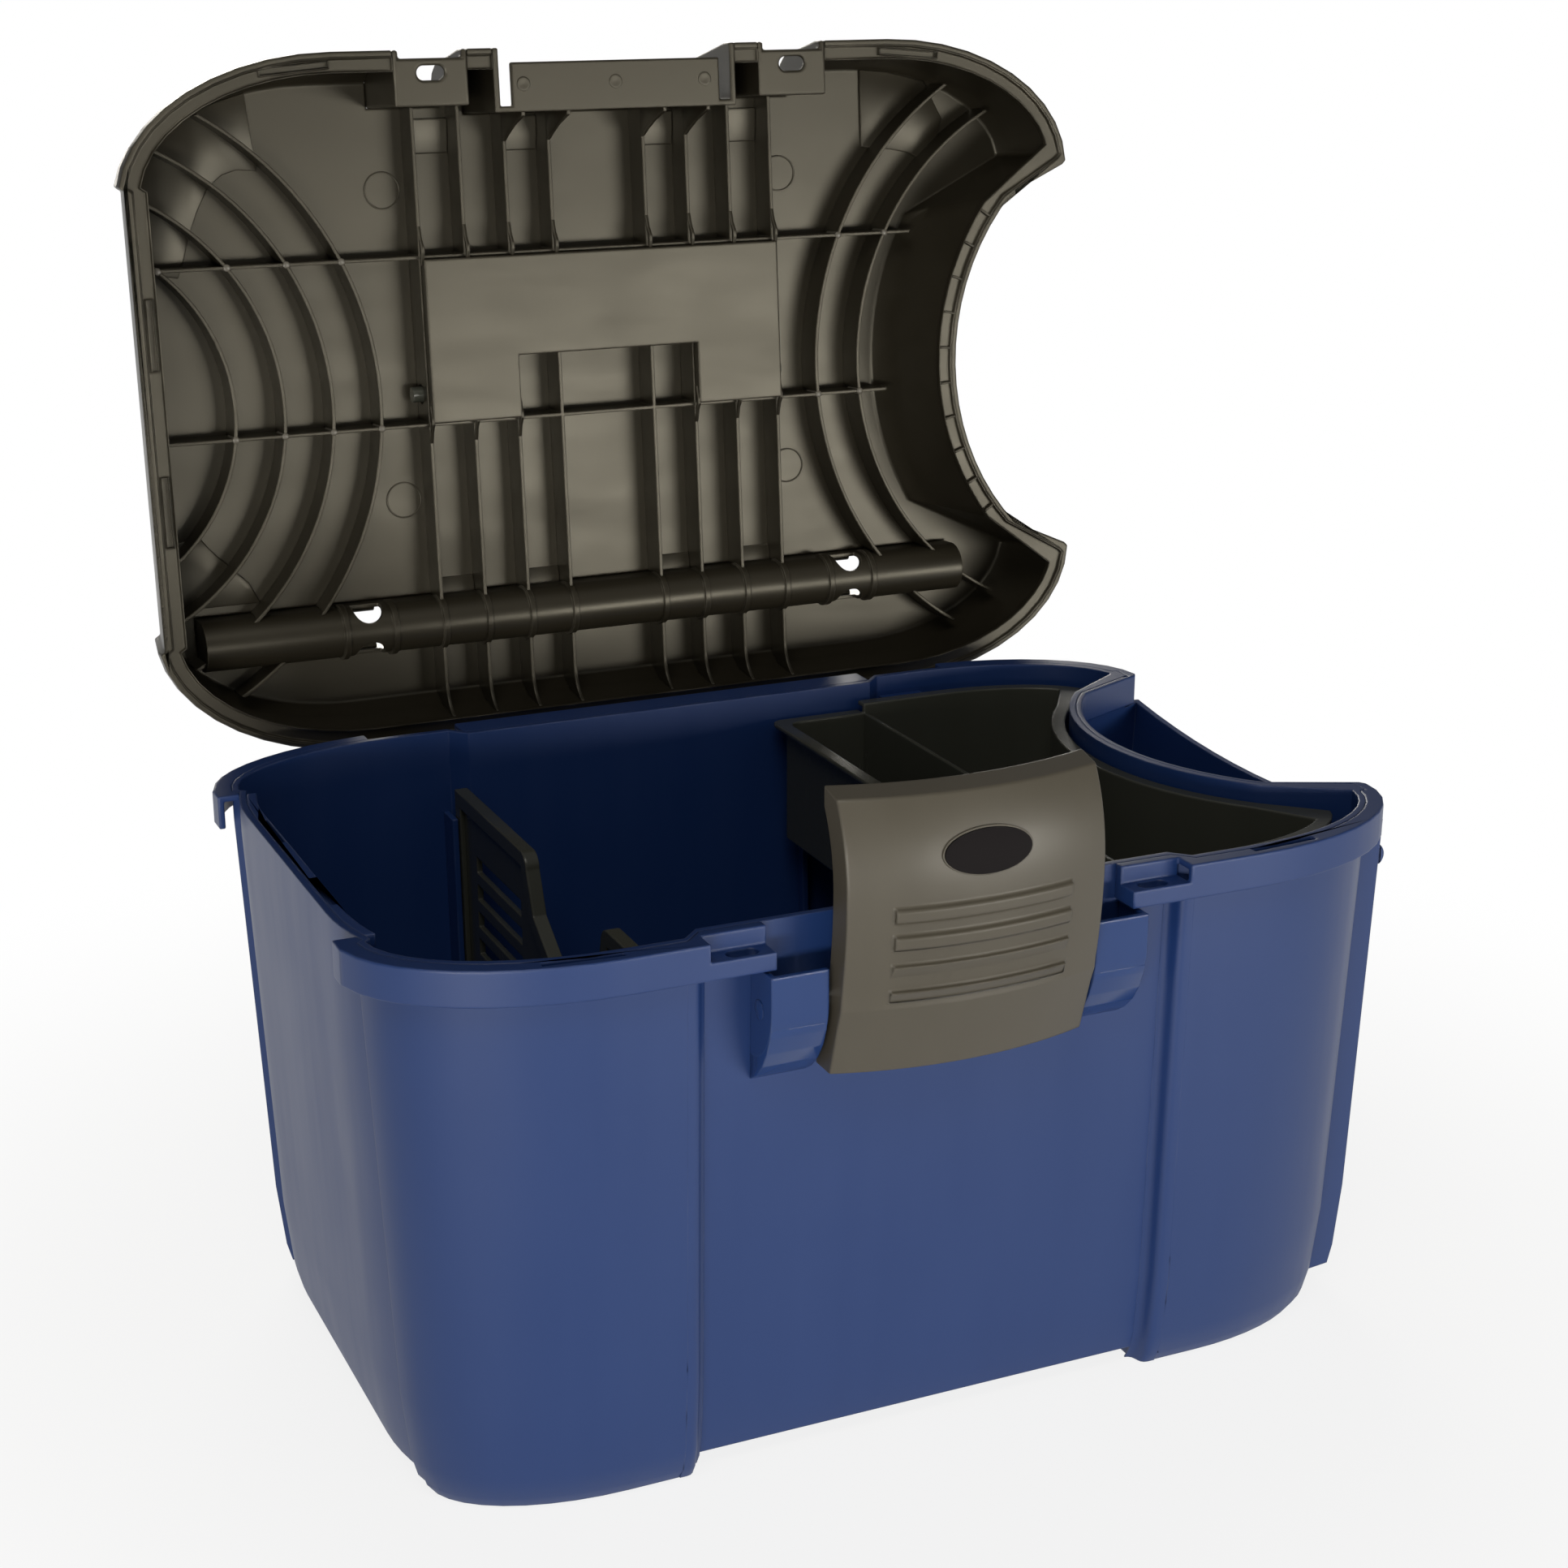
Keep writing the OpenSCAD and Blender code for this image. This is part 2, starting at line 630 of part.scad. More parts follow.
// Shelves under the tray's flange, against the recessed panels and against the pods
module tray_ledge(x0, x1, set_in, top) {
  low = min(top, wall_top_z) - ledge_h;
  front = tray_half_d + ledge_gap;
  across(x0, x1, [[-inner_face(low) + set_in, low], [-inner_face(wall_top_z) + set_in, wall_top_z],
    [-inner_face(top) + set_in, top], [-front, top], [-front, top - ledge_lip]]);
}
module tray_ledges() {
  pod_x = panel_half + ledge_gap;
  seat_z = tray_z - tray_wall - seat_gap;
  color(tub_blue) for (s = [0, 1]) mirror([0, s, 0]) {
    tray_ledge(ledge_x, ledge_x + ledge_len, panel_recess, seat_z - tray_step);
    tray_ledge(pod_x, pod_x + ledge_len, 0, seat_z);
    wall_rib(ledge_x - rail_w, panel_recess, rail_bite, tray_z - tray_wall - tray_step - ledge_lip);
  }
}
module divider_rails() {
  side = divider_t / 2 + rail_gap;
  reach = divider_gap + rail_bite;
  color(tub_blue) for (s = [0, 1]) mirror([0, s, 0]) {
    wall_rib(-divider_x - side - rail_w, 0, panel_recess + reach, rail_top_z);
    wall_rib(-divider_x + side, panel_recess, reach, rail_top_z);
  }
}

// Lid, drawn closed and then swung open about the hinge line
lid_z = rim_z + lid_seat_gap;
lid_in_z = lid_z + lid_hollow;
lid_top_z = lid_in_z + lid_wall;
lid_tip_in = c_tip_y + lid_wall * tip_wall_share;
groove_half = groove_w / 2;
groove_out = groove_half + groove_wall;
groove_mid_z = lid_top_z - groove_deep + groove_half;
bay_half = latch_half_w + bay_gap;
handle_y = -handle_back;
handle_z = lid_top_z - handle_drop;
module opened() {
  translate([0, hinge_y, hinge_z]) rotate([-lid_open, 0, 0]) translate([0, -hinge_y, -hinge_z]) children();
}
function lid_plan(inset, grow, tip) =
  let (w = lid_half_w - inset, d = lid_half_d - inset, r = lid_c_radius + inset + grow,
    reach = lid_c_reach - (inset + grow) * lid_reach_share)
  plan(w - lid_shift, w + lid_shift, d, 0, flat_left(w - lid_shift, -lid_notch), end_half,
    curved_end(lid_c_mid, r, asin(reach / r), w + lid_shift - tip_back, tip), tip + side_ramp);
lid_fan = [-lid_half_w * fan_share, 0];
function lid_inset(z) = lid_lean * max(0, z - lid_z - lid_lip) / (lid_hollow - lid_lip);
function lid_grow(z) = lid_c_lean * lid_inset(z) / lid_lean;
lid_levels = [lid_z, lid_z + lid_lip, lid_top_z - lid_round, lid_top_z - lid_round / 3, lid_top_z];
lid_edges = [0, 0, 0, lid_round / 3, lid_round];
module lid_outer() {
  stack([for (k = [0:len(lid_levels) - 1])
    lid_plan(lid_inset(lid_levels[k]) + lid_edges[k], lid_grow(lid_levels[k]), c_tip_y)], lid_levels, lid_fan);
}
module lid_inner() {
  z_list = [lid_z - over, lid_z + lid_lip, lid_in_z - lid_round, lid_in_z];
  more = [0, 0, 0, lid_round / 2];
  stack([for (k = [0:len(z_list) - 1])
    lid_plan(lid_inset(z_list[k]) + lid_wall + more[k], lid_grow(z_list[k]), lid_tip_in)], z_list, lid_fan);
}
// Section of the lid's front edge, back to a wall inside it
function lid_section(back) = concat(
  [for (k = [0:len(lid_levels) - 1]) [-lid_half_d + lid_inset(lid_levels[k]) + lid_edges[k], lid_levels[k]]],
  [[-back, lid_top_z], [-back, lid_z]]);
module pan_outline(inset) {
  w = pan_half_w - inset;
  i = island_half + inset;
  y0 = -rib_front + inset;
  y1 = rib_rear - inset;
  y2 = -island_front - inset;
  polygon([[-w, y0], [w, y0], [w, y1], [i, y1], [i, y2], [-i, y2], [-i, y1], [-w, y1]]);
}
module pan_block(up) {
  translate([0, 0, lid_top_z - pan_deep - pan_wall]) linear_extrude(pan_deep + pan_wall + up) pan_outline(0);
}
module groove_block(half, x0, x1, up) {
  rod(x0, x1, groove_y, groove_mid_z, 2 * half);
  translate([x0, groove_y - half, groove_mid_z]) cube([x1 - x0, 2 * half, lid_top_z - groove_mid_z + up]);
}
collar_list = concat([for (k = [0:upright_n - 1]) upright_x + k * upright_step],
  [clip_x - collar_gap, clip_x + collar_gap]);
module groove_body(up) {
  groove_block(groove_out, -groove_left - groove_wall, groove_right + groove_wall, up);
  for (s = [-1, 1]) for (x = collar_list)
    rod(s * x - collar_w / 2, s * x + collar_w / 2, groove_y, groove_mid_z, 2 * (groove_out + collar_t));
}
module front_block(x, half, back) {
  translate([x - half, -lid_half_d - over, lid_z - over])
    cube([2 * half, lid_half_d - back + over, lid_top_z - lid_z + 2 * over]);
}
module front_cuts() {
  front_block(0, bay_half + bay_wall, bay_y - bay_wall);
  for (s = [-1, 1]) front_block(s * shelf_x, shelf_w / 2 + bay_wall, box_y - bay_wall);
}
module lid_shell() {
  color(lid_grey) opened() difference() {
    lid_outer();
    lid_inner();
    pan_block(over);
    groove_body(over);
    front_cuts();
  }
}
module lid_rim() {
  slot_edge = lid_half_w - lid_shift - lid_notch - lid_wall - (lid_rim_w - slot_w) / 2;
  color(lid_grey) opened() difference() {
    translate([0, 0, lid_z]) linear_extrude(lid_rim_t) polygon(lid_plan(lid_wall, 0, lid_tip_in));
    translate([0, 0, lid_z - over]) linear_extrude(lid_rim_t + 2 * over)
      polygon(lid_plan(lid_wall + lid_rim_w, 0, lid_tip_in + lid_rim_w));
    front_cuts();
    rim_slots(lid_z - over, slot_deep + over, slot_edge, lid_half_d - lid_wall - lid_slot_in);
  }
}
module rib_room() {
  translate([0, 0, lid_in_z - rib_h]) linear_extrude(rib_h)
    polygon(lid_plan(lid_lean + lid_wall + lid_round / 2, lid_c_lean, lid_tip_in));
}
module rib_cuts() {
  pan_block(over);
  groove_body(over);
  front_cuts();
  for (s = [0, 1]) mirror([s, 0, 0])
    rod(pan_half_w - over, pan_half_w + pin_out + over, handle_y, handle_z, handle_pin_d + 2 * over);
}
module cross_bars() {
  z = lid_in_z - rib_h;
  for (y = [-rib_front - rib_t, rib_rear])
    translate([-lid_half_w, y, z]) cube([2 * lid_half_w, rib_t, rib_h]);
  for (s = [-1, 1]) for (k = [0:upright_n - 1])
    translate([s * (upright_x + k * upright_step) - rib_t / 2, -lid_half_d, z])
      cube([rib_t, 2 * lid_half_d, rib_h]);
}
// Webs that carry the fore and aft ribs from the groove up the rear wall
function lid_wall_y(z) = lid_half_d - lid_inset(z) - lid_wall;
module rear_gussets() {
  low = lid_in_z - rib_h;
  start = groove_y + groove_out;
  mid_z = low - gusset_r;
  mid_y = lid_wall_y(mid_z + gusset_r * sin(gusset_turn)) - gusset_r * cos(gusset_turn);
  for (s = [-1, 1]) for (k = [0:upright_n - 1]) let (x = s * (upright_x + k * upright_step) - rib_t / 2)
    across(x, x + rib_t, concat(
      [[start, lid_in_z], [lid_wall_y(lid_in_z) - lid_round / 2, lid_in_z],
       [lid_wall_y(lid_in_z - lid_round), lid_in_z - lid_round]],
      arc(mid_y, mid_z, gusset_r, gusset_turn, 90, corner_n),
      [[start, low]]));
}
module lid_cross_ribs() {
  color(lid_grey) opened() difference() {
    union() {
      intersection() {
        rib_room();
        cross_bars();
      }
      rear_gussets();
    }
    rib_cuts();
  }
}
module ring_rib(cx, r) {
  translate([cx, 0, lid_in_z - rib_h]) difference() {
    cylinder(r = r + rib_t / 2, h = rib_h);
    translate([0, 0, -over]) cylinder(r = r - rib_t / 2, h = rib_h + 2 * over);
  }
}
module lid_arc_ribs() {
  color(lid_grey) opened() difference() {
    intersection() {
      rib_room();
      union() {
        for (k = [0:left_arcs - 1]) ring_rib(-lid_half_w - arc_out, arc_r0 + k * arc_step);
        for (k = [1:right_arcs]) ring_rib(c_mid, c_radius + k * arc_step);
      }
    }
    cross_bars();
    rib_cuts();
  }
}
module handle_pan() {
  color(lid_grey) opened() difference() {
    pan_block(0);
    translate([0, 0, lid_top_z - pan_deep]) linear_extrude(pan_deep + over) pan_outline(pan_wall);
    for (s = [0, 1]) mirror([s, 0, 0])
      rod(pan_half_w - pan_wall - over, pan_half_w + over, handle_y, handle_z, handle_pin_d + 2 * pin_clear);
  }
}
arm_end = pan_half_w - pan_wall - arm_side_gap;
module carry_handle() {
  grip_y = handle_y - handle_reach;
  color(tray_black) opened() {
    rod(-arm_end, arm_end, grip_y, handle_z, grip_d);
    for (s = [0, 1]) mirror([s, 0, 0]) {
      rod(arm_end - arm_t, arm_end, handle_y, handle_z, arm_w);
      translate([arm_end - arm_t, grip_y, handle_z - arm_w / 2]) cube([arm_t, handle_reach, arm_w]);
    }
  }
}
module handle_pins() {
  color(tray_black) opened() for (s = [0, 1]) mirror([s, 0, 0])
    rod(arm_end, pan_half_w + pin_out, handle_y, handle_z, handle_pin_d);
}
module whip_groove() {
  color(lid_grey) opened() difference() {
    groove_body(0);
    groove_block(groove_half, -groove_left, groove_right, over);
    for (s = [-1, 1]) for (e = [-1, 1])
      translate([s * clip_x, groove_y + e * groove_out, lid_top_z - groove_deep - 2 * groove_wall])
        cylinder(d = clip_hole_d, h = groove_deep - clip_drop - 2 * clip_r);
  }
}
module whip_clips() {
  color(lid_grey) opened() for (s = [-1, 1]) intersection() {
    for (e = [-1, 1])
      rod(s * clip_x - clip_len / 2, s * clip_x + clip_len / 2, groove_y + e * groove_half,
        lid_top_z - clip_drop - clip_r, 2 * clip_r);
    translate([s * clip_x - clip_len, groove_y - groove_half, lid_top_z - groove_deep])
      cube([2 * clip_len, groove_w, groove_deep]);
  }
}
module latch_bay() {
  color(lid_grey) opened() {
    translate([-bay_half - bay_wall, -bay_y, lid_z])
      cube([2 * (bay_half + bay_wall), bay_wall, lid_top_z - lid_z]);
    for (s = [0, 1]) mirror([s, 0, 0]) across(bay_half, bay_half + bay_wall, lid_section(bay_y));
    translate([-tongue_half, -tongue_y, lid_z]) cube([2 * tongue_half, tongue_y - bay_y, tongue_t]);
  }
}
module padlock_boxes() {
  half = shelf_w / 2;
  color(lid_grey) opened() for (s = [-1, 1]) translate([s * shelf_x, 0, 0]) {
    difference() {
      translate([-half, -eye_edge, lid_z]) cube([shelf_w, eye_edge - box_y, tongue_t]);
      translate([0, -eye_y, lid_z - over]) oval(eye_len, eye_w, tongue_t + 2 * over);
    }
    translate([-half - bay_wall, -box_y, lid_z]) cube([shelf_w + 2 * bay_wall, bay_wall, lid_top_z - lid_z]);
    for (e = [0, 1]) mirror([e, 0, 0]) across(half, half + bay_wall, lid_section(box_y));
  }
}
module lid_knuckles() {
  w = hinge_len - 2 * cheek_w - 2 * hinge_side_gap;
  color(lid_grey) opened() for (s = [-1, 1]) translate([s * hinge_x - w / 2, 0, 0]) difference() {
    union() {
      rod(0, w, hinge_y, hinge_z, knuckle_d);
      translate([0, lid_half_d, hinge_z])
        cube([w, hinge_y + knuckle_d / 2 - lid_half_d, lid_z + lid_lip - hinge_z]);
    }
    rod(-over, w + over, hinge_y, hinge_z, hinge_pin_d + 2 * pin_clear);
  }
}

// Latch cover: a bowed shell turned about an upright axis behind it
latch_axis_y = latch_bow_r - latch_front;
latch_up_r = (pow(latch_top_z - latch_mid_z, 2) + pow(latch_up_sag, 2)) / (2 * latch_up_sag);
latch_dn_r = (pow(latch_mid_z - crease_z, 2) + pow(crease_sag, 2)) / (2 * crease_sag);
function latch_skirt_r(z) = latch_bow_r
  - mix(latch_dn_sag, crease_sag, (z - latch_low_z) / (crease_z - latch_low_z));
function latch_curve(off, low, high) = concat(
  [[latch_skirt_r(low) + off, low]],
  arc(latch_bow_r - latch_dn_r, latch_mid_z, latch_dn_r + off,
    -asin((latch_mid_z - crease_z) / latch_dn_r), 0, face_n),
  [for (k = [1:face_n]) let (a = asin((high - latch_mid_z) / latch_up_r) * k / face_n)
    [latch_bow_r - latch_up_r + (latch_up_r + off) * cos(a), latch_mid_z + (latch_up_r + off) * sin(a)]]);
function latch_r(z) = latch_bow_r + (z > latch_mid_z
  ? sqrt(pow(latch_up_r, 2) - pow(z - latch_mid_z, 2)) - latch_up_r
  : sqrt(pow(latch_dn_r, 2) - pow(z - latch_mid_z, 2)) - latch_dn_r);
function latch_end(curve) = curve[len(curve) - 1];
module turned(points) {
  translate([0, latch_axis_y, 0]) rotate([0, 0, -90 - turn_half])
    rotate_extrude(angle = 2 * turn_half) polygon(points);
}
module latch_slab(half, back) {
  translate([-half, -2 * latch_front, 0]) cube([2 * half, 2 * latch_front - back, 2 * latch_top_z]);
}
module latch_block(out) {
  back = latch_curve(-latch_deep, latch_low_z, latch_top_z);
  lip = latch_end(back);
  front = latch_curve(out, latch_low_z, latch_top_z);
  turned(concat(front, [[lip[0], lip[1] + latch_bevel]], backwards(back)));
}
module latch_hollow() {
  low = latch_low_z + latch_wall;
  high = latch_top_z - latch_wall / 2;
  intersection() {
    turned(concat(latch_curve(-latch_wall, low, high), backwards(latch_curve(-2 * latch_deep, low, high))));
    latch_slab(latch_half_w - latch_wall, 0);
  }
}
module latch_hook() {
  z = lid_z + tongue_t + hook_gap;
  intersection() {
    turned([[latch_r(z) - latch_wall / 2, z], [latch_r(z) - latch_wall / 2, z + hook_t],
      [latch_axis_y + hook_y - latch_wall, z + hook_t], [latch_axis_y + hook_y - latch_wall, z]]);
    latch_slab(hook_half, hook_y);
  }
}
module latch_bars() {
  for (k = [0:bar_n - 1])
    let (z = bar_low_z + k * bar_step, h = k < bar_thin_n ? bar_thin_h : bar_h,
      low_share = k < bar_thin_n ? bar_wedge_share : 1 - bar_edge_share)
    intersection() {
      turned([[latch_r(z + h) - latch_wall / 2, z + h], [latch_r(z) - latch_wall / 2, z],
        [latch_r(z), z], [latch_r(z) + bar_out, z + h * low_share],
        [latch_r(z + h) + bar_out, z + h * bar_edge_share], [latch_r(z + h), z + h]]);
      latch_slab(bar_half, 0);
    }
}
module latch_cover() {
  color(lid_grey) difference() {
    union() {
      difference() {
        intersection() {
          latch_block(0);
          latch_slab(latch_half_w, 0);
        }
        latch_hollow();
      }
      latch_bars();
      latch_hook();
      for (s = [0, 1]) mirror([s, 0, 0]) {
        rod(latch_half_w - latch_wall, latch_half_w, -axle_y, axle_z, 2 * ear_r);
        translate([latch_half_w - latch_wall, -axle_y - ear_reach, axle_z - ear_r])
          cube([latch_wall, ear_reach, 2 * ear_r]);
      }
    }
    rod(-latch_half_w - over, latch_half_w + over, -axle_y, axle_z, axle_d + 2 * pin_clear);
  }
}
module latch_badge() {
  color(tray_black) difference() {
    intersection() {
      latch_block(badge_t);
      translate([0, 0, badge_z]) rotate([90, 0, 0]) linear_extrude(2 * latch_front)
        polygon([for (i = [0:badge_n - 1]) [badge_len / 2 * cos(360 * i / badge_n),
          badge_h / 2 * sin(360 * i / badge_n)]]);
    }
    latch_block(0);
  }
}
module latch_axle() {
  color(pin_steel) rod(-socket_out + axle_end_gap, socket_out - axle_end_gap, -axle_y, axle_z, axle_d);
}

// Lift-out tray with its hollow end round the pocket
tray_mid_x = wall_half_w - wall_half_d + corner_y - corner_long;
function tray_plan(off) = let (d = tray_half_d + off, r = d - corner_y, rx = r + corner_long,
    x = tray_left - off + tray_corner,
    tip = tip_in_y + tray_tip_gap - off, e = asin((tip - corner_y) / r)) concat(
  arc(x, -d + tray_corner, tray_corner, 180, 270, corner_n),
  oval_arc(tray_mid_x, -corner_y, rx, r, -90, -e),
  arc(c_mid, 0, c_radius + tub_wall + tray_c_gap - off, 180 + c_turn, 180 - c_turn, curve_n),
  oval_arc(tray_mid_x, corner_y, rx, r, e, 90),
  arc(x, d - tray_corner, tray_corner, 90, 180, corner_n));
tray_low_z = tray_z - tray_deep;
tray_slot_x = tray_left + tray_slot;
module tray_slab(off, low, high) {
  translate([0, 0, low]) linear_extrude(high - low) polygon(tray_plan(off));
}
module tray_left_part(low, high) {
  translate([0, -rim_half_d, low]) cube([tray_slot_x, 2 * rim_half_d, high - low]);
}
module tray_body() {
  color(tray_black) difference() {
    union() {
      difference() {
        union() {
          tray_slab(0, tray_low_z, tray_z);
          tray_slab(tray_flange, tray_z - tray_wall, tray_z);
        }
        tray_left_part(tray_z - tray_step, tray_z + over);
      }
      intersection() {
        tray_slab(tray_flange, tray_z - tray_step - tray_wall, tray_z - tray_step);
        tray_left_part(tray_low_z, tray_z);
      }
    }
    tray_slab(-tray_wall, tray_low_z + tray_wall, tray_z + over);
  }
}
module tray_partition() {
  y = tray_half_d - tray_wall;
  color(tray_black) translate([tray_slot_x, -y, tray_low_z + tray_wall])
    cube([tray_wall, 2 * y, tray_deep - tray_wall - tray_step]);
}

// Lift-out divider: thick border round a louvred web, low in the middle
function divider_end(z) = inner_face(z) - panel_recess - divider_gap;
divider_foot_z = floor_z + seat_gap;
module divider_outline() {
  foot = divider_end(tuck_h) - tuck;
  knee_z = floor_z + tuck_h;
  rear = divider_rear_y;
  front = -divider_front_y;
  polygon(concat(
    [[-foot, divider_foot_z], [foot, divider_foot_z], [divider_end(knee_z), knee_z],
     [divider_end(divider_z), divider_z]],
    arc(rear + divider_round, divider_z - divider_round, divider_round, 90, 180, corner_n),
    [[rear - divider_lean, divider_step_z], [divider_mid_y, divider_low_z],
     [front + divider_rise, divider_low_z]],
    arc(front - divider_round, divider_z - divider_round, divider_round, 0, 90, corner_n),
    [[-divider_end(divider_z), divider_z], [-divider_end(knee_z), knee_z]]));
}
module divider_slab(thick) {
  translate([-divider_x - thick / 2, 0, 0]) rotate([90, 0, 90]) linear_extrude(thick) children();
}
module divider_panel() {
  end = divider_end(floor_z + tuck_h) - divider_border - louvre_end;
  inset = divider_border + louvre_end / 2;
  color(tray_black) difference() {
    divider_slab(web_t) offset(delta = -divider_border) divider_outline();
    for (z = [louvre_low_z:louvre_step:divider_z - divider_border - louvre_step])
      for (y = [[divider_rear_y + inset, end], [-end, -divider_front_y - inset]])
        translate([-divider_x - web_t, y[0], z]) cube([2 * web_t, y[1] - y[0], louvre_h]);
  }
}
module divider_frame() {
  color(tray_black) divider_slab(divider_t) difference() {
    divider_outline();
    offset(delta = -divider_border) divider_outline();
  }
}

tub_shell();
rim_band();
pocket_bead();
latch_sockets();
hinge_brackets();
hinge_pins();
tray_ledges();
divider_rails();
lid_shell();
lid_rim();
lid_cross_ribs();
lid_arc_ribs();
handle_pan();
whip_groove();
whip_clips();
latch_bay();
padlock_boxes();
lid_knuckles();
carry_handle();
handle_pins();
latch_cover();
latch_badge();
latch_axle();
tray_body();
tray_partition();
divider_panel();
divider_frame();
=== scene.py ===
# %% [markdown]
# # A moulded grooming box, dressed piece by piece
# The box stands open: a blue tub with an outer bottle pocket, a ribbed grey lid leaning back on its hinges,
# a grey rocker latch at the front, and a black tray and divider that lift out.
# The exact solids are loaded first and stay fixed, so every new piece is placed by their measures.

# %% Load the frame and keep its box
import json
import math
import bpy
from mathutils import Matrix, Vector

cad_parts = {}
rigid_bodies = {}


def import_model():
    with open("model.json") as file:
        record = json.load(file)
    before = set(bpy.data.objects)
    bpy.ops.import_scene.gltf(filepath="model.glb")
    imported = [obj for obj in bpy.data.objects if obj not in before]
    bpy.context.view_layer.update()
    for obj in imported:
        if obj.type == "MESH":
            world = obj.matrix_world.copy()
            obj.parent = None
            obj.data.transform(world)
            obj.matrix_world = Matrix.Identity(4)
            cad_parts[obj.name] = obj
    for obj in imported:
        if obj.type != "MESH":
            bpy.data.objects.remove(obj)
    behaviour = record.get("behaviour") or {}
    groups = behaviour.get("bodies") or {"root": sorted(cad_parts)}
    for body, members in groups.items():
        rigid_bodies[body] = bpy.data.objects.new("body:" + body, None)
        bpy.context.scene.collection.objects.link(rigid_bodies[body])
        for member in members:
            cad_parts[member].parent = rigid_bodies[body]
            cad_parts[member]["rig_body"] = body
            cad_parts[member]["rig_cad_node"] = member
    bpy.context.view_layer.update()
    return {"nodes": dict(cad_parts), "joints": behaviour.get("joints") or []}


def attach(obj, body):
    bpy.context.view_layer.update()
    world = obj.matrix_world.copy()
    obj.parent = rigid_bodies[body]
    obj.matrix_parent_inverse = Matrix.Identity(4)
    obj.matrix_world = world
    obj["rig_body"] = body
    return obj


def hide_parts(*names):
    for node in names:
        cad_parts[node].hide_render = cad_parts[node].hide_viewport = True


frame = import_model()
nodes = frame["nodes"]


def nothing_selected():
    if bpy.context.object and bpy.context.object.mode != "OBJECT":
        bpy.ops.object.mode_set(mode="OBJECT")
    bpy.ops.object.select_all(action="DESELECT")


def only(piece):
    nothing_selected()
    piece.select_set(True)
    bpy.context.view_layer.objects.active = piece


def ready_to_pick(kind):
    bpy.ops.object.mode_set(mode="EDIT")
    bpy.ops.mesh.select_mode(type=kind)
    bpy.ops.mesh.select_all(action="DESELECT")
    bpy.ops.object.mode_set(mode="OBJECT")


# %% [markdown]
# ## Where the viewer stands
# The picture is taken a little above the rim, from the front and to the left, with a longish lens.
# Place and direction were worked out from the box's straight edges, so they are typed here as numbers.

# %% Camera
VIEWER_PLACE = (-0.5000, -1.0905, 0.6545)
VIEWER_LOOKS = Vector((0.39230, 0.86498, -0.31289))
LENS_MM, FILM_MM = 61.72, 36.0
NEAREST, FARTHEST = 0.05, 30.0


def make_camera():
    nothing_selected()
    bpy.ops.object.camera_add(location=VIEWER_PLACE)
    cam = bpy.context.object
    cam.name = "viewer"
    cam.rotation_euler = VIEWER_LOOKS.to_track_quat("-Z", "Y").to_euler()
    cam.data.lens = LENS_MM
    cam.data.sensor_width = FILM_MM
    cam.data.clip_start = NEAREST
    cam.data.clip_end = FARTHEST
    bpy.context.scene.camera = cam
    return cam


viewer = make_camera()
print("camera at", tuple(round(v, 3) for v in viewer.location))

# %% [markdown]
# ## Floor, backdrop and light
# A studio picture on white: the floor looks white to the camera but still takes the box's soft shadow.
# Light Path tells the floor's material which rays come from the camera, so the white costs no light
# on the plastic.
# Reflections see a part of that white, and near the box it fades a little, which leaves a soft shadow.
# Two lamps stand low in front, so the lid's inside is lit and the tub's inside stays deep.
# A weak one above and one behind lift the tops and the edges.

# %% Floor
FLOOR_WIDE, FLOOR_DROP = 24.0, 0.0004
FLOOR_GREY = (0.82, 0.82, 0.82, 1.0)
WHITE = (1.0, 1.0, 1.0, 1.0)
SHADE_NEAR, SHADE_FAR, SHADE_WHITE = 0.25, 0.75, 0.84
REFLECTED_SHARE = 0.70


